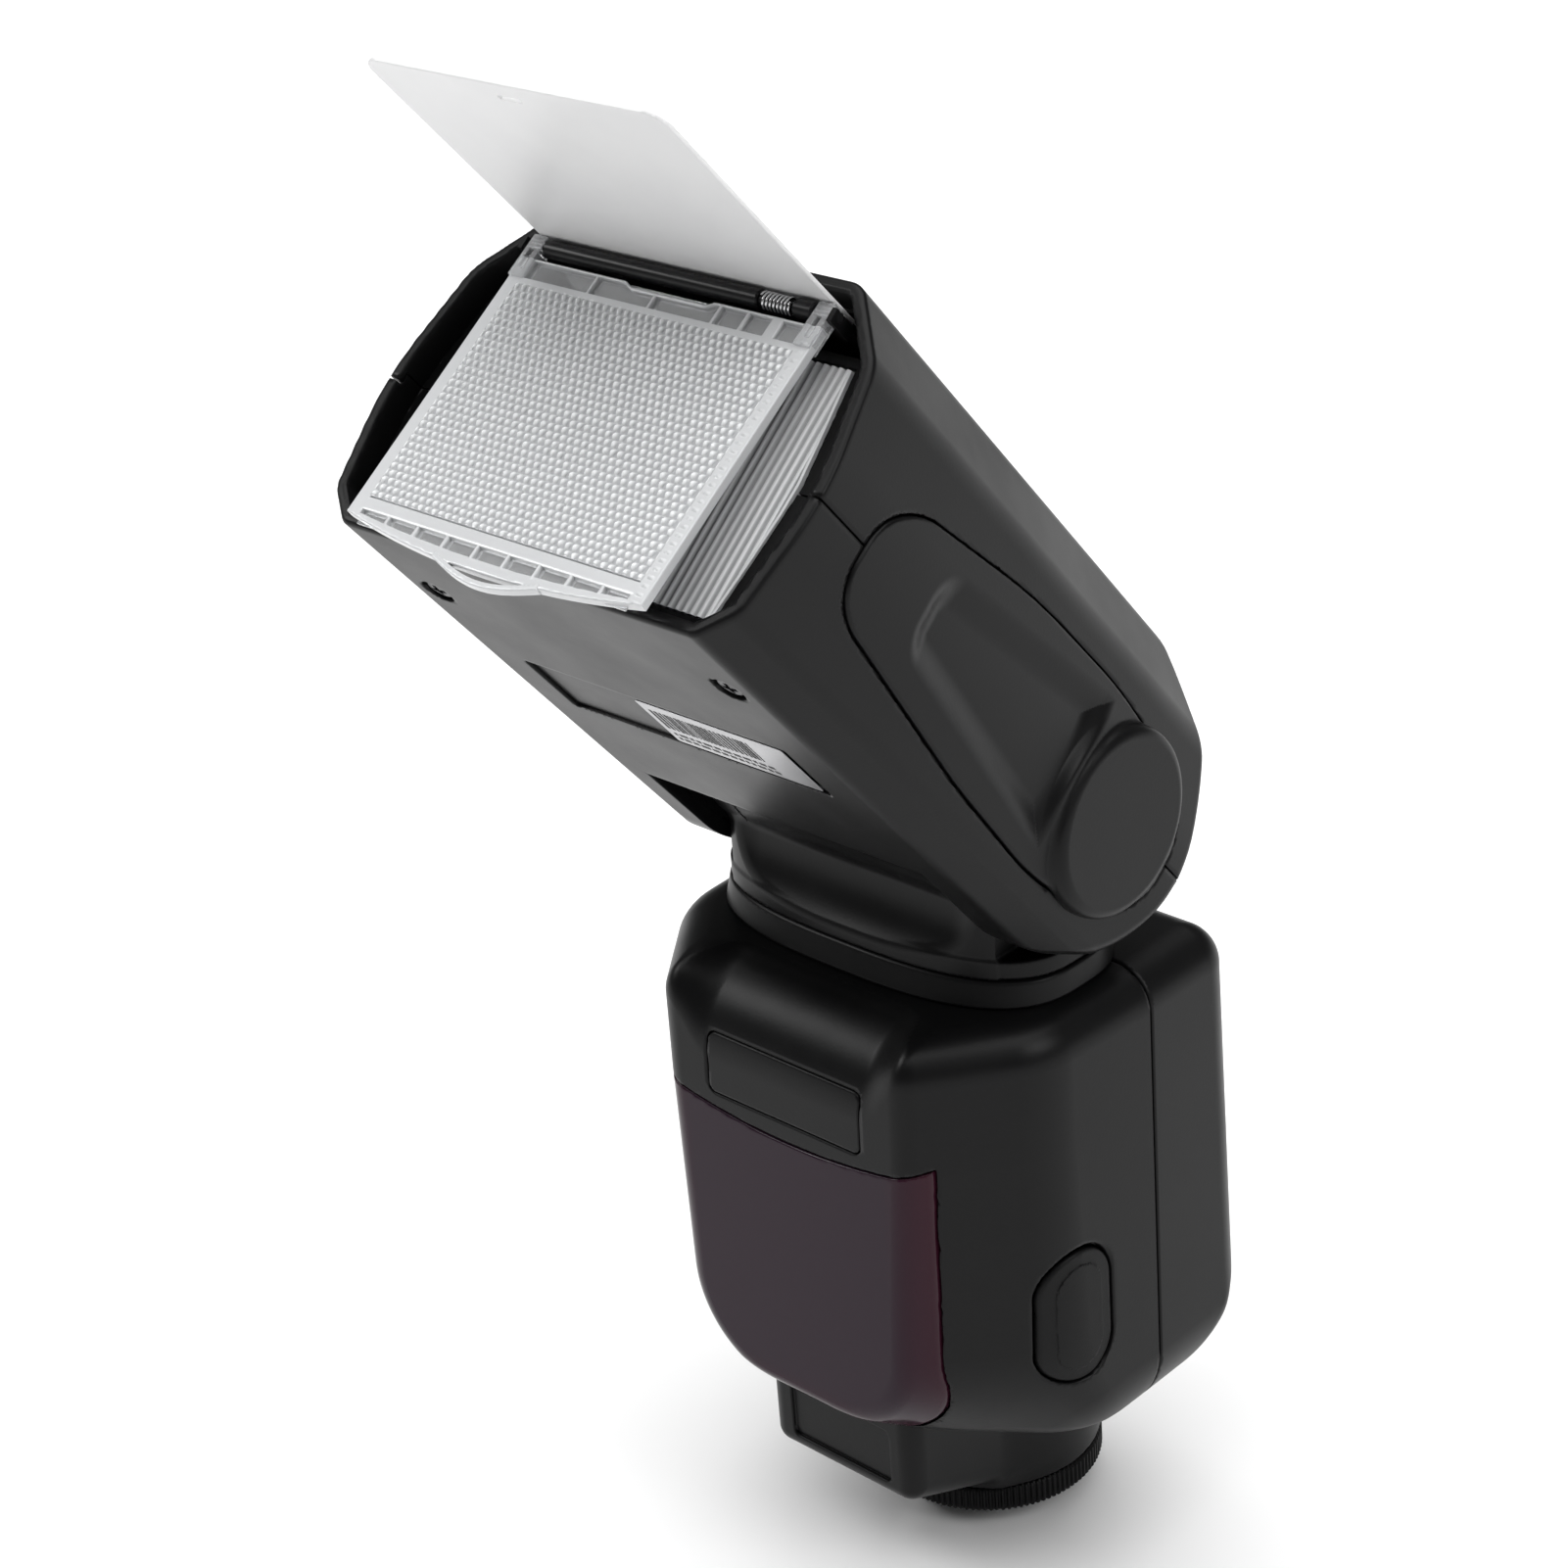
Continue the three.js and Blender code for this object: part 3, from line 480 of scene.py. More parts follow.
def along(tree, direction, origin):
    """Distance in millimetres from an origin in the row frame, along a direction."""
    place = tree.nodes.new("ShaderNodeTexCoord")
    dot = tree.nodes.new("ShaderNodeVectorMath")
    dot.operation = "DOT_PRODUCT"
    tree.links.new(place.outputs["Object"], dot.inputs[0])
    dot.inputs[1].default_value = [c / MM for c in direction]
    start = sum(a * b for a, b in zip(direction, origin))
    return math_node(tree, "SUBTRACT", dot.outputs["Value"], start)


def lens_painted_rib_light():
    """Ribbed clear plastic with painted light: a painted highlight down the middle of each rib and painted
    shade on its flanks.
    """
    material, tree, shader = clear("lens_painted_rib_light", (0.8, 0.81, 0.82), 0.12, 0.12)
    u = along(tree, (1, 0, 0), (0, 0, 0))
    wave = math_node(tree, "COSINE", math_node(tree, "MULTIPLY", u, 2 * math.pi / 1.2))
    # painted highlight and painted shade across each rib, set in the base colour
    tint(tree, shader, wave, -0.7, 0.9, (0.80, 0.81, 0.82), (0.26, 0.265, 0.27))
    return material


def panel_clear():
    """Clear plastic with small lenses: a painted highlight on each lens and painted shade between them."""
    material, tree, shader = clear("panel_clear", (0.8, 0.81, 0.82), 0.14, 0.2)
    down = (PANEL_MATRIX.to_3x3() @ Vector((0, 0, 1)))
    origin = PANEL_MATRIX @ Vector((0, 0, 6.4))
    u = along(tree, (1, 0, 0), (0, 0, 0))
    h = along(tree, tuple(down), tuple(origin))
    across = math_node(tree, "COSINE", math_node(tree, "MULTIPLY", u, 2 * math.pi / BUMP_A))
    rows = math_node(tree, "COSINE", math_node(tree, "MULTIPLY", h, math.pi / BUMP_H))
    painted_light_mask = math_node(tree, "MULTIPLY", across, rows)
    beside = math_node(tree, "LESS_THAN", math_node(tree, "ABSOLUTE", u), 23.5)
    height = math_node(tree, "ABSOLUTE", math_node(tree, "SUBTRACT", h, 16.1))
    within = math_node(tree, "MULTIPLY", beside, math_node(tree, "LESS_THAN", height, 16.6))
    painted_light_mask = math_node(tree, "ADD", math_node(tree, "MULTIPLY", painted_light_mask, within),
                     math_node(tree, "MULTIPLY", math_node(tree, "SUBTRACT", 1, within), 0.1))
    # painted highlights on the small lenses and painted shade between them, set in the base colour
    tint(tree, shader, painted_light_mask, -0.2, 0.6, (0.46, 0.47, 0.48), (0.96, 0.97, 0.98))
    return material


def card_film():
    """White film that lets some light through."""
    material, tree, shader = principled("card_film", (0.72, 0.72, 0.72), 0.4)
    shader.inputs["Subsurface Weight"].default_value = 0.25
    shader.inputs["Subsurface Radius"].default_value = (0.002, 0.002, 0.002)
    wide = noise(tree, 60, 3)
    tint(tree, shader, wide.outputs["Fac"], 0.3, 0.7, (0.70, 0.70, 0.705), (0.74, 0.74, 0.74))
    fine = noise(tree, 900, 2)
    bump(tree, shader, fine.outputs["Fac"], 0.000006)
    return material


CASING = moulded("casing_black", (0.0038, 0.0038, 0.0040), 0.36)
DARK = moulded("inner_black", (0.0034, 0.0034, 0.0036), 0.45, grain=2000)
RUBBER = moulded("soft_rubber", (0.0036, 0.0036, 0.0038), 0.5, grain=3200, depth=0.00002)
DARK_GLOSS = moulded("rod_black", (0.010, 0.010, 0.0105), 0.28, grain=1800)
STEEL = metal("bright_steel", (0.62, 0.62, 0.63), 0.25)
DARK_STEEL = metal("black_steel", (0.05, 0.05, 0.052), 0.35)
BRASS = metal("gold_plate", (0.80, 0.62, 0.30), 0.25)
MIRROR = metal("reflector_sheet", (0.88, 0.88, 0.89), 0.1)
FOIL = metal("foil", (0.42, 0.42, 0.43), 0.35)
INK = moulded("ink", (0.02, 0.02, 0.02), 0.5)
GLASS = clear("window_clear", (0.9, 0.91, 0.92), 0.04, 0.9)[0]
CLEAR = clear("acrylic", (0.95, 0.96, 0.97), 0.04, 0.8)[0]
BOARD = moulded("solder_mask", (0.012, 0.07, 0.03), 0.35, grain=1500)
WRAP = moulded("cell_wrap", (0.04, 0.09, 0.2), 0.3, grain=800)
SLEEVE = moulded("sleeve", (0.012, 0.012, 0.018), 0.25, grain=900)
DISPLAY = moulded("display", (0.20, 0.24, 0.19), 0.2, grain=1500, depth=0.0000015)
CLEAR_EDGE = clear("clear_edge", (0.9, 0.91, 0.92), 0.2, 0.3)[0]
LENS_PAINTED_RIB_LIGHT = lens_painted_rib_light()
PANEL_PAINTED_LENS_LIGHT = panel_clear()
CARD = card_film()

# ---- CAD pieces that keep their shape ----
DRESS = {
    "shoe_plate": STEEL, "shoe_lock_pin": STEEL, "shoe_post": DARK, "pan_clip": STEEL, "tilt_axle": STEEL,
    "zoom_screw": STEEL, "zoom_motor": STEEL, "door_contact": BRASS, "socket_block": DARK,
    "battery_tray": DARK, "panel_carrier": DARK, "zoom_carriage": DARK, "main_capacitor": SLEEVE,
    "power_board": BOARD, "control_board": BOARD, "display_panel": DISPLAY, "reflector": MIRROR,
    "flash_tube": GLASS, "cell_1": WRAP, "cell_2": WRAP, "cell_3": WRAP, "cell_4": WRAP,
}


def dress_frame():
    for node, material in DRESS.items():
        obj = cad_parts[node]
        obj.data.materials.clear()
        obj.data.materials.append(material)
        edge = obj.modifiers.new("edge", "BEVEL")
        edge.width = 0.00015
        edge.segments = 2
        edge.limit_method = "ANGLE"
        edge.angle_limit = math.radians(50)


# ---- body ----
NECK_TOP = 103.1
BODY_TOP = 99.2
BOTTOM = convex([(-60, 42.2, 0), (-22, 26.8, 20), (0, 21.8, 20), (9, 21.8, 8), (29, 51.6, 0), (29, 120, 0),
                 (-60, 120, 0)])
FRONT_EDGE = mirrored([(19.4, 35.2, 14.5), (20.9, 80, 0), (20.9, 130, 0)])


def body_field(x, y, z):
    """The whole outer form of the body, below the neck's collar."""
    wide = np.abs(x)
    sides = np.maximum(0.99878 * (wide - 34.4) - 0.04945 * (y + 22), wide - 35.4)
    slant = 0.7946 * FRONT_EDGE(x, z) - 0.6071 * (y + 39.8)
    form = rmax(sides, slant, 14, 0.82)
    form = rmax(form, -y - 39.8 + 0.0238 * (z - 35), 4.5, 0.607)
    form = rmax(form, y - 19 + 0.0328 * (z - 37), 5.5)
    form = rmax(form, BOTTOM(y, z), 5 - 2 * smooth(-y, 20, 32))
    soft = 6 + 7 * (1 - smooth(wide, 14, 22)) * (1 - smooth(y, -30, -22))
    form = rmax(form, z - BODY_TOP, soft)
    slope = 0.7025 * (wide - 35.4) - 0.7117 * (z - 31.4)
    return rmax(form, slope, 14, 0.7)


def super_ellipse(x, y, half, depth, centre, power):
    a, b = np.abs(x) / half, np.abs(y - centre) / depth
    reach = (a ** power + b ** power) ** (1 / power)
    steepness = np.sqrt(half * half * (b + 1e-6) ** 2 + depth * depth * (a + 1e-6) ** 2)
    return (reach - 1) * (half * depth) / steepness


WINDOW_EDGE = mirrored([(22.8, 33, 12), (24.1, 80, 0), (24.1, 130, 0)])


def window_outline(x, z):
    bottom = WINDOW_EDGE(x, z)
    top = z - (77.6 + 2.9 * (x / 24.1) ** 2)
    return np.maximum(bottom, top)


def cover_outline(x, z):
    return rect(-14.1, 14.1, 81.1, 90.3, 1.2)(x, z)


CAP_Y, CAP_Z = -17.8, 51.6


def cap_outline(y, z):
    reach = np.maximum(np.abs(z - CAP_Z) - 4.5, 0)
    return np.sqrt((y - CAP_Y) ** 2 + reach ** 2) - 6.2


def door_outline(x, y, z):
    """The battery door's edges: square to the slanted corner in front, straight above, below and behind."""
    front = -0.607 * (x + 28.2) + 0.7947 * (y + 30.1)
    return both(-front, y + 3.5, 56.5 - z, z - 90.5, x)


KEYS = {
    "soft_key_1": (-22, -13, 56, 60), "soft_key_2": (-10.5, -1.5, 56, 60),
    "soft_key_3": (1.5, 10.5, 56, 60), "soft_key_4": (13, 22, 56, 60),
    "mode_button": (-25, -17, 41.5, 47), "test_button": (17, 25, 41.5, 47),
}
DIAL_Z = 43.5


def body_wall(x, y, z):
    outer = body_field(x, y, z)
    wall = np.maximum(outer, -(outer + 2.0))
    hole = ball2(x, y, 0, PIVOT_Y, 12.5)
    return both(wall, -np.maximum(hole, 85 - z)), outer


def make_body_front():
    def front(x, y, z):
        wall, outer = body_wall(x, y, z)
        window = np.maximum(window_outline(x, z) - GAP, y + 26)
        cover = both(cover_outline(x, z) - 0.25, y + 30)
        cap = np.maximum(cap_outline(y, z) - 0.2, 24 - x)
        lip = both(cap_outline(y + 0.3, z - 0.6) - 0.25, 24 - x, -(outer + 1.4))
        out = rmax(wall, -window, 0.25)
        out = rmax(out, -cover, 0.2)
        out = rmax(out, -lip, 0.7)
        out = rmax(out, -cap, 0.15)
        out = rmax(out, -(door_outline(x, y, z) - GAP), 0.2)
        return rmax(out, y + 1.95, 0.25)

    piece = skin("body_front", front, (-36, -40.5, 21), (36, -1, 99), 0.5, CASING)
    stands_for(piece, "body", "casing", "body_front_shell")

    def red(x, y, z):
        outer = body_field(x, y, z)
        return rmax(np.maximum(outer, -(outer + 1.7)), np.maximum(window_outline(x, z), y + 26), 0.3)

    piece = skin("red_window", red, (-26, -40.5, 33), (26, -26, 82), 0.42, RED)
    stands_for(piece, "body", "red_window", "receiver_window")

    def cover(x, y, z):
        outer = body_field(x, y, z)
        return rmax(np.maximum(outer, -(outer + 1.2)), np.maximum(cover_outline(x, z), y + 30), 0.25)

    piece = skin("front_cover", cover, (-15, -40.5, 79), (15, -30, 92), 0.35, CASING)
    stands_for(piece, "body", "casing", "af_cover")

    def plug(x, y, z):
        outer = body_field(x, y, z)
        edge = cap_outline(y, z)
        dome = 0.25 * smooth(-edge, 0, 7)
        leaf = rmax(both(edge, 24 - x, -(outer + 0.9)), outer + 0.25 - dome, 0.5)
        stem = both(edge + 2.2, 24 - x, -(outer + 2.4), outer)
        return np.minimum(leaf, stem)

    piece = skin("port_cap", plug, (25, -28.5, 40), (36.5, -11, 64), 0.3, RUBBER)
    stands_for(piece, "terminal_cap", "rubber", "terminal_cap")

    def door(x, y, z):
        outer = body_field(x, y, z)
        grip = 0.5 * smooth(np.cos((z - 73.5) * math.pi / 1.5), -0.1, 0.5)
        inset = both(slab(z, 62, 85), slab(y, -16, -8))
        outer_face = outer + np.where(inset < 0, grip, 0)
        leaf = rmax(np.maximum(outer_face, -(outer + 2.2)), door_outline(x, y, z), 0.3)
        barrel = both(ball2(x, y, -34.2, -3.5, 1.1), slab(z, 56.5, 90.5))
        return np.minimum(leaf, barrel)

    piece = skin("cell_door", door, (-36, -33, 56), (-26, -2, 91), 0.4, CASING)
    stands_for(piece, "battery_door", "casing", "battery_door")


def make_body_rear():
    def rear(x, y, z):
        wall, outer = body_wall(x, y, z)
        frame_edge = rmax(both(rect(-27, 27, 61.5, 92.5, 3)(x, z), 10 - y), -(outer + 0.5), 0.3)
        out = rmax(wall, -frame_edge, 0.3)
        screen = np.maximum(rect(-24, 24, 64, 90, 2)(x, z), 10 - y)
        out = rmax(out, -screen, 0.2)
        for x0, x1, z0, z1 in KEYS.values():
            hole = np.maximum(rect(x0 - GAP, x1 + GAP, z0 - GAP, z1 + GAP, 1.3)(x, z), 10 - y)
            out = rmax(out, -hole, 0.2)
        out = rmax(out, -np.maximum(ball2(x, z, 0, DIAL_Z, 10.8), 10 - y), 0.3)
        switch = np.maximum(rect(15, 26, 35.6, 38.8, 1)(x, z), 10 - y)
        out = rmax(out, -switch, 0.2)
        return rmax(out, -1.65 - y, 0.25)

    piece = skin("body_rear", rear, (-36, -2.5, 21), (36, 20, 99), 0.5, CASING)
    stands_for(piece, "body", "casing", "body_rear_shell")


def rear_face(z):
    return 19 - 0.0328 * (z - 37)


def make_rear_controls():
    for name, (x0, x1, z0, z1) in KEYS.items():
        middle = (z0 + z1) / 2

        def key(x, y, z, x0=x0, x1=x1, z0=z0, z1=z1, middle=middle):
            top = rear_face(middle) + 0.9 - 0.02 * (x - (x0 + x1) / 2) ** 2
            return rmax(rect(x0, x1, z0, z1, 1.2)(x, z), slab(y, 11.6, top), 0.45)

        piece = skin(name + "_cap", key, (x0 - 0.5, 11, z0 - 0.5), (x1 + 0.5, 20.5, z1 + 0.5), 0.25, RUBBER)
        stands_for(piece, name, "rubber", name)

    glass = skin("screen_glass", lambda x, y, z: rmax(
        rect(-23.7, 23.7, 64.3, 89.7, 1.8)(x, z), np.maximum(body_field(x, y, z) + 0.6, 16 - y), 0.3),
        (-24, 15, 64), (24, 19, 90), 0.4, GLASS)
    stands_for(glass, "body", "clear_plastic", "display_window")

    notches = 44
    profile = [(13, 6), (13, 10.2), (19.4, 10.4), (20.0, 10.0), (20.2, 9.4), (20.2, 6.6), (19.8, 6.0),
               (13, 6)]
    ring = turned("dial", profile, 4 * notches, DARK, (0, 0, DIAL_Z), "y",
                  wave=lambda i, r: -0.3 if i % 4 < 2 and r > 10.1 else 0, closed=True)
    stands_for(ring, "dial_ring", "dark_plastic", "dial_ring")
    profile = [(11.6, 0), (11.6, 4.9), (19.3, 4.9), (19.8, 4.5), (19.65, 3.0), (19.5, 0)]
    button = turned("set_cap", profile, 64, RUBBER, (0, 0, DIAL_Z), "y")
    stands_for(button, "set_button", "rubber", "set_button")

    def slider(x, y, z):
        grip = rmax(rect(15.6, 19.6, 36, 38.4, 0.5)(x, z), slab(y, 13, 19.6 + 0.15 * np.cos(x * 6)), 0.3)
        base = both(rect(15.5, 22.5, 34.8, 39.6, 0.4)(x, z), slab(y, 12.4, 13.6))
        return np.minimum(grip, base)

    piece = skin("switch_slider", slider, (15, 12, 34), (23, 20.3, 40), 0.25, DARK)
    stands_for(piece, "power_switch", "dark_plastic", "power_switch")


def red_plastic():
    """Dark red tinted plastic: deep purple in the middle, with painted light that makes it redder at its
    edges, where light gets in.
    """
    material, tree, shader = principled("red_window", (0.03, 0.010, 0.016), 0.12)
    shader.inputs["Specular IOR Level"].default_value = 0.14
    aside = math_node(tree, "ABSOLUTE", along(tree, (1, 0, 0), (0, 0, 0)))
    below = math_node(tree, "SUBTRACT", 57, along(tree, (0, 0, 1), (0, 0, 0)))
    reach = math_node(tree, "MAXIMUM", aside, below)
    # painted light: redder towards the window's sides and bottom edge
    tint(tree, shader, reach, 18, 26, (0.017, 0.0072, 0.0145), (0.030, 0.0045, 0.0105))
    fine = noise(tree, 500, 2)
    rough = ramp(tree, fine.outputs["Fac"], 0.3, 0.7, 0.1, 0.14)
    tree.links.new(rough, shader.inputs["Roughness"])
    return material


RED = red_plastic()


# ---- foot ----
def make_foot():
    nose_side = convex([(-32.4, 17.9, 2.5), (-12, 9.2, 3), (12, 9.2, 0), (12, 40, 0), (-32.4, 40, 0)])

    def foot(x, y, z):
        cone = ball2(x, y, 0, 0, 17.2) + 0.05 * (z - 7.7)
        base = rmax(cone, 7.7 - z, 0.6)
        nose = rmax(nose_side(y, z), np.abs(x) - 14.2, 3.0)
        panel = both(rect(-9.5, 9.5, 19.9, 29, 1)(x, z), slab(y, -33.4, -31.8))
        nose = rmax(nose, -panel, 0.3)
        out = rmin(base, nose, 3.0)
        out = np.maximum(out, -(body_field(x, y, z) - GAP))
        return np.maximum(out, -np.maximum(ball2(x, y, 0, 0, 9.2), z - 12.3))

    piece = skin("foot", foot, (-17.5, -33, 7.5), (17.5, 17.5, 38), 0.42, CASING)
    stands_for(piece, "body", "dark_plastic", "foot_block")

    teeth = 116
    rim = [(3.4, 9.3), (3.4, 17.0), (3.75, 17.3), (7.05, 17.3), (7.4, 17.0), (7.4, 9.3), (3.4, 9.3)]
    wheel = turned("wheel", rim, 4 * teeth, DARK, (0, 0, 0), "z",
                   wave=lambda i, r: -0.34 if i % 4 > 1 and r > 16 else 0, closed=True)
    stands_for(wheel, "lock_wheel", "dark_plastic", "lock_wheel")

    for i in range(1, 6):
        node = "contact_pin_%d" % i
        (x0, y0, _), (x1, y1, _) = box_mm(node)
        profile = [(0.02, 0), (0.05, 0.45), (0.25, 0.75), (0.6, 0.9), (4, 0.9), (4, 0)]
        piece = turned("pin_%d" % i, profile, 32, BRASS, ((x0 + x1) / 2, (y0 + y1) / 2, 0), "z")
        stands_for(piece, node, "brass", node)


# ---- neck ----
def make_neck():
    def collar(x, y, z):
        flare = NECK_TOP - z
        ring = super_ellipse(x, y, 29.8 + 0.1 * flare, 15.2 + 0.4 * flare, PIVOT_Y, 2.8)
        out = rmax(ring, slab(z, BODY_TOP + 0.1, NECK_TOP), 0.45)
        return np.maximum(out, -ball2(x, y, 0, PIVOT_Y, 12.6))

    piece = skin("collar", collar, (-32.2, -27.6, 98.5), (32.2, 8.6, 104), 0.32, CASING)
    stands_for(piece, "body", "casing", "neck_collar")

    def yoke(x, y, z):
        wide = np.abs(x)
        reach = ball2(y, z, PIVOT_Y, PIVOT_Z, 0)
        oval = super_ellipse(x, y, 29.6, 15, PIVOT_Y, 2.8)
        base = rmax(oval, slab(z, 103.3, 106.0), 0.3)
        column = both(wide - 24.2, oval, y - PIVOT_Y - 12.4, 103.5 - z, z - PIVOT_Z)
        block = rmin(column, base, 0.6)
        for centre, middle, size in ((PIVOT_Y - 24, 113.9, 12.4), (PIVOT_Y + 21.5, 112.7, 10.8)):
            beyond = np.maximum(wide - 17.5, 0)
            scoop = np.sqrt(beyond ** 2 + (y - centre) ** 2 + (z - middle) ** 2) - size
            block = rmax(block, -scoop, 0.6)
        drum = rmax(reach - 16.6, wide - 24.2, 0.7)
        groove = both(np.abs(wide - 19.6) - 0.22, 16.2 - reach)
        out = rmin(block, np.maximum(drum, -groove), 0.8)
        spigot = both(ball2(x, y, 0, PIVOT_Y, 11.8), slab(z, 91, 104))
        out = np.minimum(out, spigot)
        out = np.maximum(out, -both(ball2(x, y, 0, PIVOT_Y, 5), z - 112))
        return np.maximum(out, 4 - reach)

    piece = skin("yoke_skin", yoke, (-31.5, -27, 90.5), (31.5, 8, 143), 0.33, CASING)
    stands_for(piece, "neck", "dark_plastic", "yoke")


# ---- head: u across, v forward, w up, from the tilt axis ----
SECTION = mirrored([(30.5, -19.6, 2.5), (35, -15.4, 4), (37.6, 0.6, 40), (34.2, 18, 8), (26, 27.8, 4)])
FRONT_V = 81.5
LENS_FRONT, LENS_BACK = 77.2, 75.4
LENS_LOW, LENS_HIGH, LENS_HALF = -15.7, 18.6, 29.6
RIB = 1.2


def rear_field(v, w):
    """The round rear end of the head, from the side; it only matters behind the tilt axis."""
    low = np.sqrt(v * v + w * w) - 19.6
    high = ((np.abs(v / 19.6) ** 1.85 + np.abs(w / 27.8) ** 1.85) ** (1 / 1.85) - 1) * 22
    return np.where(v < 0, np.where(w > 0, high, low), -30)


def head_field(u, v, w):
    form = rmax(SECTION(u, w), rear_field(v, w), 2.2 * smooth(-v, 2, 12))
    return rmax(form, v - FRONT_V, 0.7)


def lens_outline(u, w):
    wide = np.abs(u)
    low = 0.9959 * (wide - 28) - 0.0905 * (w - LENS_LOW)
    high = 0.9934 * (wide - 27.9) + 0.1146 * (w - LENS_HIGH)
    return both(low, high, LENS_LOW - w, w - LENS_HIGH)


FLANK = convex([(70.6, -4.6, 6), (70.6, 3.4, 8), (64.5, 9, 16), (36, 13.2, 130), (4, 13.8, 80),
                (-13.6, 8, 9), (-13.6, -8, 9), (4, -13.6, 60), (32, -11.8, 130), (65.5, -7.6, 12)])
RECESS = convex([(56, -5, 5), (56, 7, 6), (14, 11.8, 6), (12, 11.8, 0), (12, -10.2, 0), (14, -10.2, 5)])
SCREW_U, SCREW_V = 25.5, 66.0


def head_hollow(u, v, w):
    section = SECTION(u, w)
    inner = both(section + 2.2, rear_field(v, w) + 2.2)
    behind = both(inner, v - LENS_BACK + 0.4)
    over = both(inner, 20.2 - w)
    bezel = both(section + 1.7, LENS_FRONT - v)
    seat = both(lens_outline(u, w) - 0.2, LENS_BACK - 3 - v)
    hollow = either(behind, over, bezel, seat)
    wide = np.abs(u)
    cheek = both(slab(wide, 24.8, 26.6), v - 18.4)
    guard = both(slab(ball2(v, w, 0, 0, 0), 17.3, 18.7), wide - 25.8)
    return both(hollow, -cheek, -guard)


def casing_field(u, v, w):
    outer = head_field(u, v, w)
    out = rmax(outer, -head_hollow(u, v, w), 0.3)
    wide = np.abs(u)
    notch = either(both(wide - 24.8, v - 15.8, w), both(wide - 24.8, ball2(v, w, 0, 0, 17.2)),
                   both(wide - 24.8, v, w - 13))
    out = rmax(out, -notch, 0.3)
    flank = both(FLANK(v, w) - GAP, 30 - wide)
    out = rmax(out, -flank, 0.2)
    for side in (-1, 1):
        out = rmax(out, -np.maximum(ball2(u, v, side * SCREW_U, SCREW_V, 2.4), w + 18.2), 0.15)
    lift = (w - ROD_W - CARD_RISE) + CARD_TILT * (v - ROD_V)
    out = np.maximum(out, -both(wide - 25.3, np.abs(lift) - 0.6, 30 - v))
    label = both(rect(-22.9, 22.9, 36.7, 49.3, 0.6)(u, v), w + 19.1)
    return rmax(out, -label, 0.15)


def make_head_shells():
    def top(u, v, w):
        inner = both(head_field(u, v, w) + 1.0, w - 2.1)
        return np.maximum(rmax(casing_field(u, v, w), 0.75 - w, 0.2), -inner)

    def base(u, v, w):
        casing = casing_field(u, v, w)
        lip = both(casing, head_field(u, v, w) + 1.2, w - 1.9, v - 80.6, -w)
        return np.minimum(rmax(casing, w - 0.45, 0.2), lip)

    piece = skin("head_top", top,
                 (-38, -20, 0), (38, 82, 28.3), 0.45, CASING, HEAD_MATRIX, keep=0.4)
    stands_for(piece, "head", "casing", "head_upper_shell")
    piece = skin("head_base", base,
                 (-38, -20, -20), (38, 82, 2.2), 0.45, CASING, HEAD_MATRIX, keep=0.4)
    stands_for(piece, "head", "casing", "head_lower_shell")

    for side, name, node in ((1, "flank_left", "side_cover_left"), (-1, "flank_right", "side_cover_right")):
        def flank(u, v, w, side=side):
            outer = head_field(u, v, w)
            out_u = side * u
            depth = 1.6 * smooth(-RECESS(v, w), -0.3, 4.5)
            depth = depth * smooth(ball2(v, w, 0, 0, 0), 13.6, 15.5)
            plate = rmax(both(outer - 0.3 + depth, -(outer + 2.0 + depth)), FLANK(v, w), 0.4)
            plate = np.maximum(plate, 28 - out_u)
            far = ball2(v, w, 0, 0, 0)
            chamfer = 0.72 * (far - 13.2) + 0.694 * (out_u - 37.0)
            boss = rmax(rmax(far - 13.2, chamfer, 0.5), out_u - 38.0, 0.5)
            boss = np.maximum(boss, 35 - out_u)
            return rmin(plate, boss, 0.6)

        lows = (28, -14.5, -14.5) if side > 0 else (-38.5, -14.5, -14.5)
        highs = (38.5, 71.5, 14.5) if side > 0 else (-28, 71.5, 14.5)
        piece = skin(name, flank, lows, highs, 0.32, CASING, HEAD_MATRIX, keep=0.5)
        stands_for(piece, "head", "casing", node)


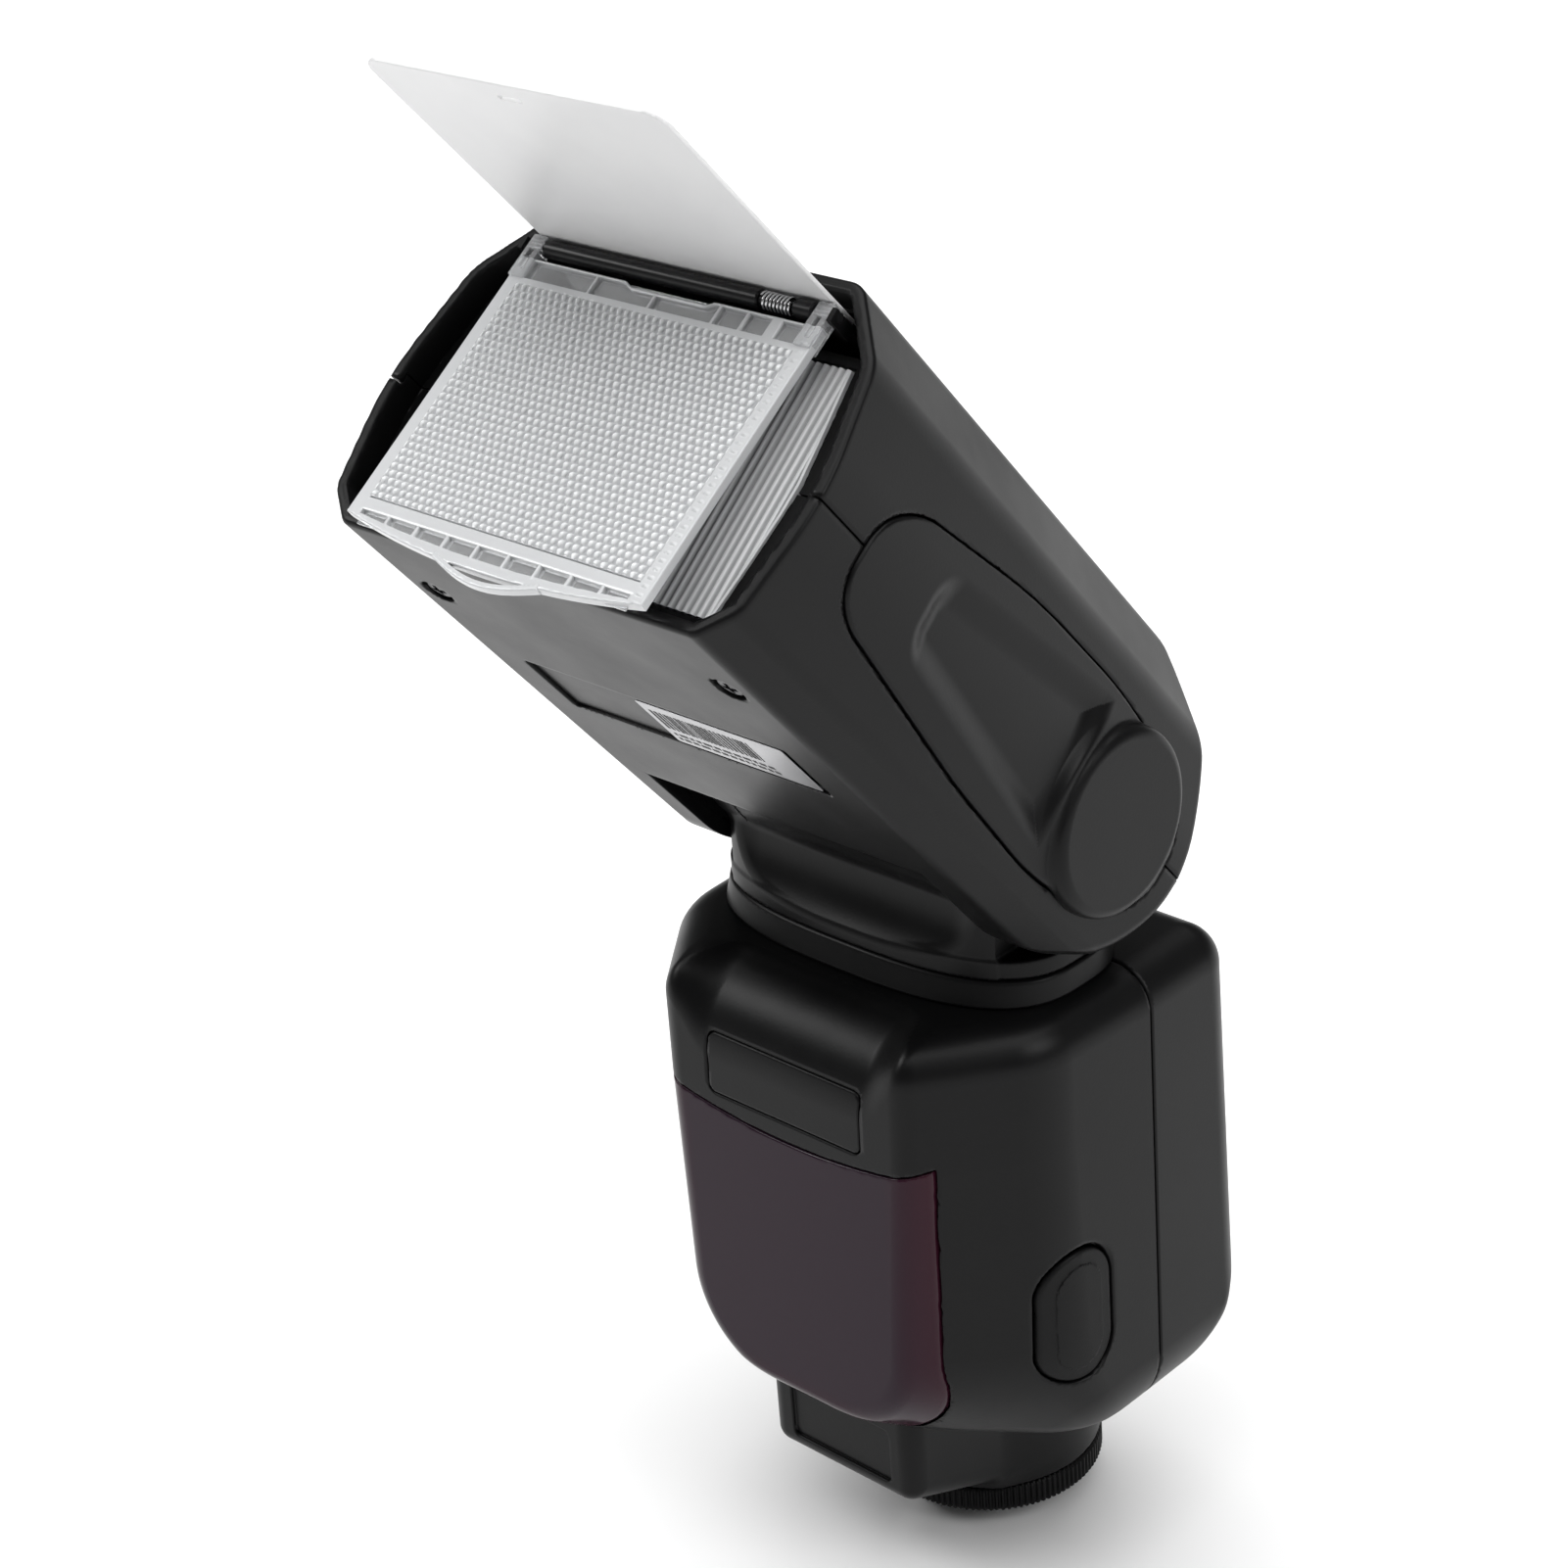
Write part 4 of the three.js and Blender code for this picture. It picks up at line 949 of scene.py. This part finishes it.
def make_head_trim():
    for side, name in ((1, "head_screw_left"), (-1, "head_screw_right")):
        def screw(u, v, w, side=side):
            a, b = u - side * SCREW_U, v - SCREW_V
            dome = rmax(np.sqrt(a * a + b * b) - 1.9, -19.4 + 0.05 * (a * a + b * b) - w, 0.3)
            cross = np.minimum(both(np.abs(a) - 0.32, np.abs(b) - 1.2),
                               both(np.abs(b) - 0.32, np.abs(a) - 1.2))
            return both(rmax(dome, -np.maximum(cross, w + 18.7), 0.08), w + 18.3)

        piece = skin(name + "_cap", screw, (side * SCREW_U - 2.1, SCREW_V - 2.1, -19.6),
                     (side * SCREW_U + 2.1, SCREW_V + 2.1, -18), 0.12, DARK_STEEL, HEAD_MATRIX)
        stands_for(piece, "head", "steel", name)

    outline = rounded_points(-3.3, 22, 37.4, 48.6, 0.5)
    label = plate("sticker", outline, -19.55, -19.4, 0.03, FOIL, HEAD_MATRIX)
    stands_for(label, "head", "label", "rating_label")
    # plain printed bars and dashes, with no lettering
    rng = np.random.default_rng(7)
    corners, faces = [], []

    def bar(u0, u1, v0, v1):
        start = len(corners)
        for w in (-19.58, -19.5):
            corners.extend([(u0, v0, w), (u1, v0, w), (u1, v1, w), (u0, v1, w)])
        for quad in ((0, 3, 2, 1), (4, 5, 6, 7), (0, 1, 5, 4), (1, 2, 6, 5), (2, 3, 7, 6), (3, 0, 4, 7)):
            faces.append([start + i for i in quad])

    at = -2.2
    while at < 15:
        wide = rng.choice((0.2, 0.35, 0.5))
        bar(at, at + wide, 41.6, 46.6)
        at += wide + rng.choice((0.25, 0.4))
    for row in range(2):
        at = -2.2
        while at < 15.5:
            wide = rng.uniform(0.5, 1.6)
            bar(at, at + wide, 38.4 + 1.3 * row, 39.0 + 1.3 * row)
            at += wide + 0.45
    bars = new_mesh("sticker_bars", corners, faces, INK, HEAD_MATRIX)
    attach(bars, "head")


# ---- optics ----
def make_lens():
    """Front lens: upright ribs across its whole width, cut to its outline."""
    steps = 8
    count = int(2 * LENS_HALF / RIB * steps)
    corners, faces = [], []
    for i in range(count + 1):
        u = -LENS_HALF + 2 * LENS_HALF * i / count
        wide = abs(u)
        low = LENS_LOW + max(wide - 28, 0) / 1.7 * 18.7
        high = LENS_HIGH - max(wide - 27.9, 0) / 1.8 * 15.6
        phase = (u / RIB) % 1
        front = LENS_FRONT - 0.45 * (2 * phase - 1) ** 2
        corners += [(u, front, low), (u, front, high), (u, LENS_BACK, high), (u, LENS_BACK, low)]
        if i:
            a, b = 4 * (i - 1), 4 * i
            for k in range(4):
                m = (k + 1) % 4
                faces.append((a + k, b + k, b + m, a + m))
    faces += [(0, 1, 2, 3), (4 * count + 3, 4 * count + 2, 4 * count + 1, 4 * count)]
    lens = new_mesh("front_lens", corners, faces, LENS_PAINTED_RIB_LIGHT, HEAD_MATRIX, smooth_angle=50)
    stands_for(lens, "head", "clear_plastic", "lens")
    # a low clear wall stands round the lens's curved ends
    bulge = [(-15.2, 27.8), (-8, 28.6), (-1, 29.2), (3, 29.3), (8, 28.8), (14, 28.1), (18.3, 27.6)]
    corners, faces = [], []
    for side in (-1, 1):
        for k, (w, u) in enumerate(bulge):
            at = len(corners)
            inner, outer = side * u, side * (u + 0.4)
            corners += [(inner, 76.0, w), (outer, 76.0, w), (outer, 77.6, w), (inner, 77.6, w)]
            if k:
                for i in range(4):
                    j = (i + 1) % 4
                    faces.append((at - 4 + i, at - 4 + j, at + j, at + i)[::side])
        faces += [(at, at + 1, at + 2, at + 3)[::side], (at - 21, at - 22, at - 23, at - 24)[::side]]
    rim = new_mesh("lens_rim", corners, faces, CLEAR_EDGE, HEAD_MATRIX)
    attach(rim, "head")


PANEL_HALF = 25.5
FACE = 1.0


def panel_bottom(a):
    return 42.0 + 2.4 * (1 - (a / PANEL_HALF) ** 2)


def make_wide_panel():
    """The flip-down panel: a across, f forward and h down from the rod."""
    def panel(a, f, h):
        wide = np.abs(a)
        bottom = panel_bottom(a)
        step = 2.1 + 0.75 * (smooth(a, -7.2, -5.2) - smooth(a, 6.8, 8.4))
        edge = both(wide - PANEL_HALF, step - h, h - bottom)
        lens = np.cos(2 * math.pi * a / BUMP_A) * np.cos(math.pi * (h - 6.4) / BUMP_H)
        field = both(wide - 23.4, 6 - h, h - 39)
        bumps = np.where(field < 0, 0.5 * np.clip(lens, 0, 1) ** 0.8, 0)
        raised = np.where(field > 0, 0.12, 0)
        across = np.clip(1 - np.abs(a - 24.4) / 0.6, 0, 1)
        bead = 0.2 * across * np.clip(np.cos(2 * math.pi * h / 1.2), 0, 1)
        out = rmax(edge, np.maximum(f - (FACE - 0.55 + bumps + raised + bead), -0.8 - f), 0.15)
        strip = both(wide - 22.9, slab(h, step + 0.35, 5.0))
        for rib, thick in ((-11.6, 0.2), (-1.2, 0.2), (9.4, 0.2), (13.9, 0.2), (18.6, 0.8)):
            strip = np.maximum(strip, thick - np.abs(a - rib))
        slots = both(wide - 23.2, slab(h, 41.15, 41.5 + 1.4 * (1 - (a / PANEL_HALF) ** 2)))
        slots = np.maximum(slots, 0.22 - np.abs((a + 2.4 + 2.65) % 5.3 - 2.65))
        line = both(wide - 23.4, slab(h, 39.15, 39.4), 0.1 - f)
        out = rmax(out, -np.minimum(strip, slots), 0.1)
        out = np.maximum(out, -line)
        lip_mid = bottom + 1.6 * np.cos(np.clip((a - 1.0) / 9.0, -1, 1) * math.pi / 2) - 0.25
        lip = rmax(both(np.abs(a - 1.0) - 9.0, np.abs(h - lip_mid) - 0.4), slab(f, -0.6, 0.7), 0.2)
        return np.minimum(out, lip)

    piece = skin("panel", panel, (-26, -1.1, 1.6), (26, 1.6, 47), 0.22, PANEL_PAINTED_LENS_LIGHT, PANEL_MATRIX, keep=0.5)
    stands_for(piece, "wide_panel", "clear_plastic", "wide_panel")

    def clear(a, f, h):
        wide = np.abs(a)
        arm = rmax(both(slab(wide, 23.0, PANEL_HALF), h - 5.2, slab(f, -1.1, 0.9)), -1.3 - h, 0.3)
        window = both(slab(wide, 23.9, 24.7), slab(h, 0.9, 3.9))
        arm = np.maximum(arm, -window)
        arm = np.maximum(arm, -ball2(f, h, 0, 0, 0.75))
        strip = both(wide - 23.0, slab(h, 2.3, 5.2), slab(f, -0.3, 0.1))
        slots = both(wide - 23.3, slab(h, 41, 43), slab(f, -0.3, 0.0))
        return either(arm, strip, slots)

    piece = skin("panel_clear", clear, (-26, -1.5, -1.6), (26, 1.4, 43.4), 0.24, CLEAR, PANEL_MATRIX,
                 keep=0.35)
    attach(piece, "wide_panel")


def make_rod_and_spring():
    rod_matrix = HEAD_MATRIX @ Matrix.Translation((0, ROD_V, ROD_W))
    left, right = 14.3, 19.4
    profile = [(-26.4, 0), (-26.4, 0.6), (-22.7, 0.6), (-22.7, 1.0), (-22.5, 1.2), (left - 0.5, 1.2),
               (left - 0.3, 1.0), (left - 0.3, 0.78), (right + 0.3, 0.78), (right + 0.3, 1.0),
               (right + 0.5, 1.2), (22.5, 1.2), (22.7, 1.0), (22.7, 0.6), (26.4, 0.6), (26.4, 0)]
    rod = turned("rod", profile, 48, DARK_GLOSS, (0, 0, 0), "x", matrix=rod_matrix)
    stands_for(rod, "head", "dark_plastic", "hinge_rod")

    turns, wire, coil = 8, 0.18, 1.02
    rounds, sides = 28, 10
    path = []
    for i in range(turns * rounds + 1):
        angle = 2 * math.pi * i / rounds
        along = left + wire + (right - left - 2 * wire) * i / (turns * rounds)
        path.append((along, coil * math.cos(angle), coil * math.sin(angle)))
    spring = tube("spring", path, wire, sides, STEEL, rod_matrix)
    stands_for(spring, "head", "steel", "hinge_spring")


def make_card():
    def card(a, t, k):
        outline = both(rect(-24.8, 24.8, -30, 38.7, 3)(a, t), -6 - t)
        notch = both(np.abs(a + 1.3) - 1.9, slab(t, 35.2, 35.9), -0.15 - k)
        out = rmax(outline, np.abs(k) - 0.25, 0.12)
        return np.maximum(out, -notch)

    piece = skin("card", card, (-25.3, -6.5, -0.6), (25.3, 39.2, 0.6), 0.3, CARD, CARD_MATRIX, keep=0.25)
    stands_for(piece, "bounce_card", "card", "bounce_card")


make_body_front()
make_body_rear()
make_rear_controls()
make_foot()
make_neck()
make_head_shells()
make_head_trim()
make_lens()
make_wide_panel()
make_rod_and_spring()
make_card()
dress_frame()


# ---- stage ----
def make_stage():
    floor_mat, tree, shader = principled("floor_white", (0.9, 0.9, 0.9), 0.9)
    wide = noise(tree, 1.5, 2)
    tint(tree, shader, wide.outputs["Fac"], 0.3, 0.7, (0.88, 0.88, 0.88), (0.9, 0.9, 0.9))
    mesh = bpy.data.meshes.new("floor")
    half, drop = 6, -0.0002
    corners = [(-half, -half, drop), (half, -half, drop), (half, half, drop), (-half, half, drop)]
    mesh.from_pydata(corners, [], [(0, 1, 2, 3)])
    mesh.materials.append(floor_mat)
    floor = bpy.data.objects.new("floor", mesh)
    bpy.context.scene.collection.objects.link(floor)

    world = bpy.data.worlds.new("studio")
    world.use_nodes = True
    world.node_tree.nodes["Background"].inputs["Color"].default_value = (1, 1, 1, 1)
    world.node_tree.nodes["Background"].inputs["Strength"].default_value = 0.12
    bpy.context.scene.world = world

    def lamp(name, place, target, size, power, size_y=None):
        data = bpy.data.lights.new(name, "AREA")
        data.energy = power
        data.size = size
        if size_y:
            data.shape = "RECTANGLE"
            data.size_y = size_y
        obj = bpy.data.objects.new(name, data)
        obj.location = place
        obj.rotation_mode = "QUATERNION"
        obj.rotation_quaternion = (Vector(target) - Vector(place)).to_track_quat("-Z", "Y")
        bpy.context.scene.collection.objects.link(obj)

    sun = bpy.data.lights.new("sky", "SUN")
    sun.energy = 3.6
    sun.angle = math.radians(75)
    sky = bpy.data.objects.new("sky", sun)
    bpy.context.scene.collection.objects.link(sky)
    lamp("key", (-0.85, -0.60, 0.85), (0, 0, 0.12), 0.4, 5)
    lamp("side", (0.95, 0.05, 0.75), (0, 0, 0.12), 0.5, 4)

    az, el, roll = math.radians(45.23), math.radians(26.51), math.radians(-4.6)
    back = Vector((math.sin(az) * math.cos(el), -math.cos(az) * math.cos(el), math.sin(el)))
    right = (-back).cross(Vector((0, 0, 1))).normalized()
    up = right.cross(-back)
    turned_right = right * math.cos(roll) + up * math.sin(roll)
    turned_up = up * math.cos(roll) - right * math.sin(roll)
    data = bpy.data.cameras.new("camera")
    data.sensor_width = 36
    data.lens = 79.41
    data.shift_x = 0.0046
    data.shift_y = -0.00234
    camera = bpy.data.objects.new("camera", data)
    place = Vector((0.28870, -0.32103, 0.33480))
    turn = Matrix((turned_right, turned_up, back)).transposed()
    camera.matrix_world = Matrix.Translation(place) @ turn.to_4x4()
    bpy.context.scene.collection.objects.link(camera)
    bpy.context.scene.camera = camera
    bpy.context.scene.view_settings.view_transform = "Standard"


make_stage()
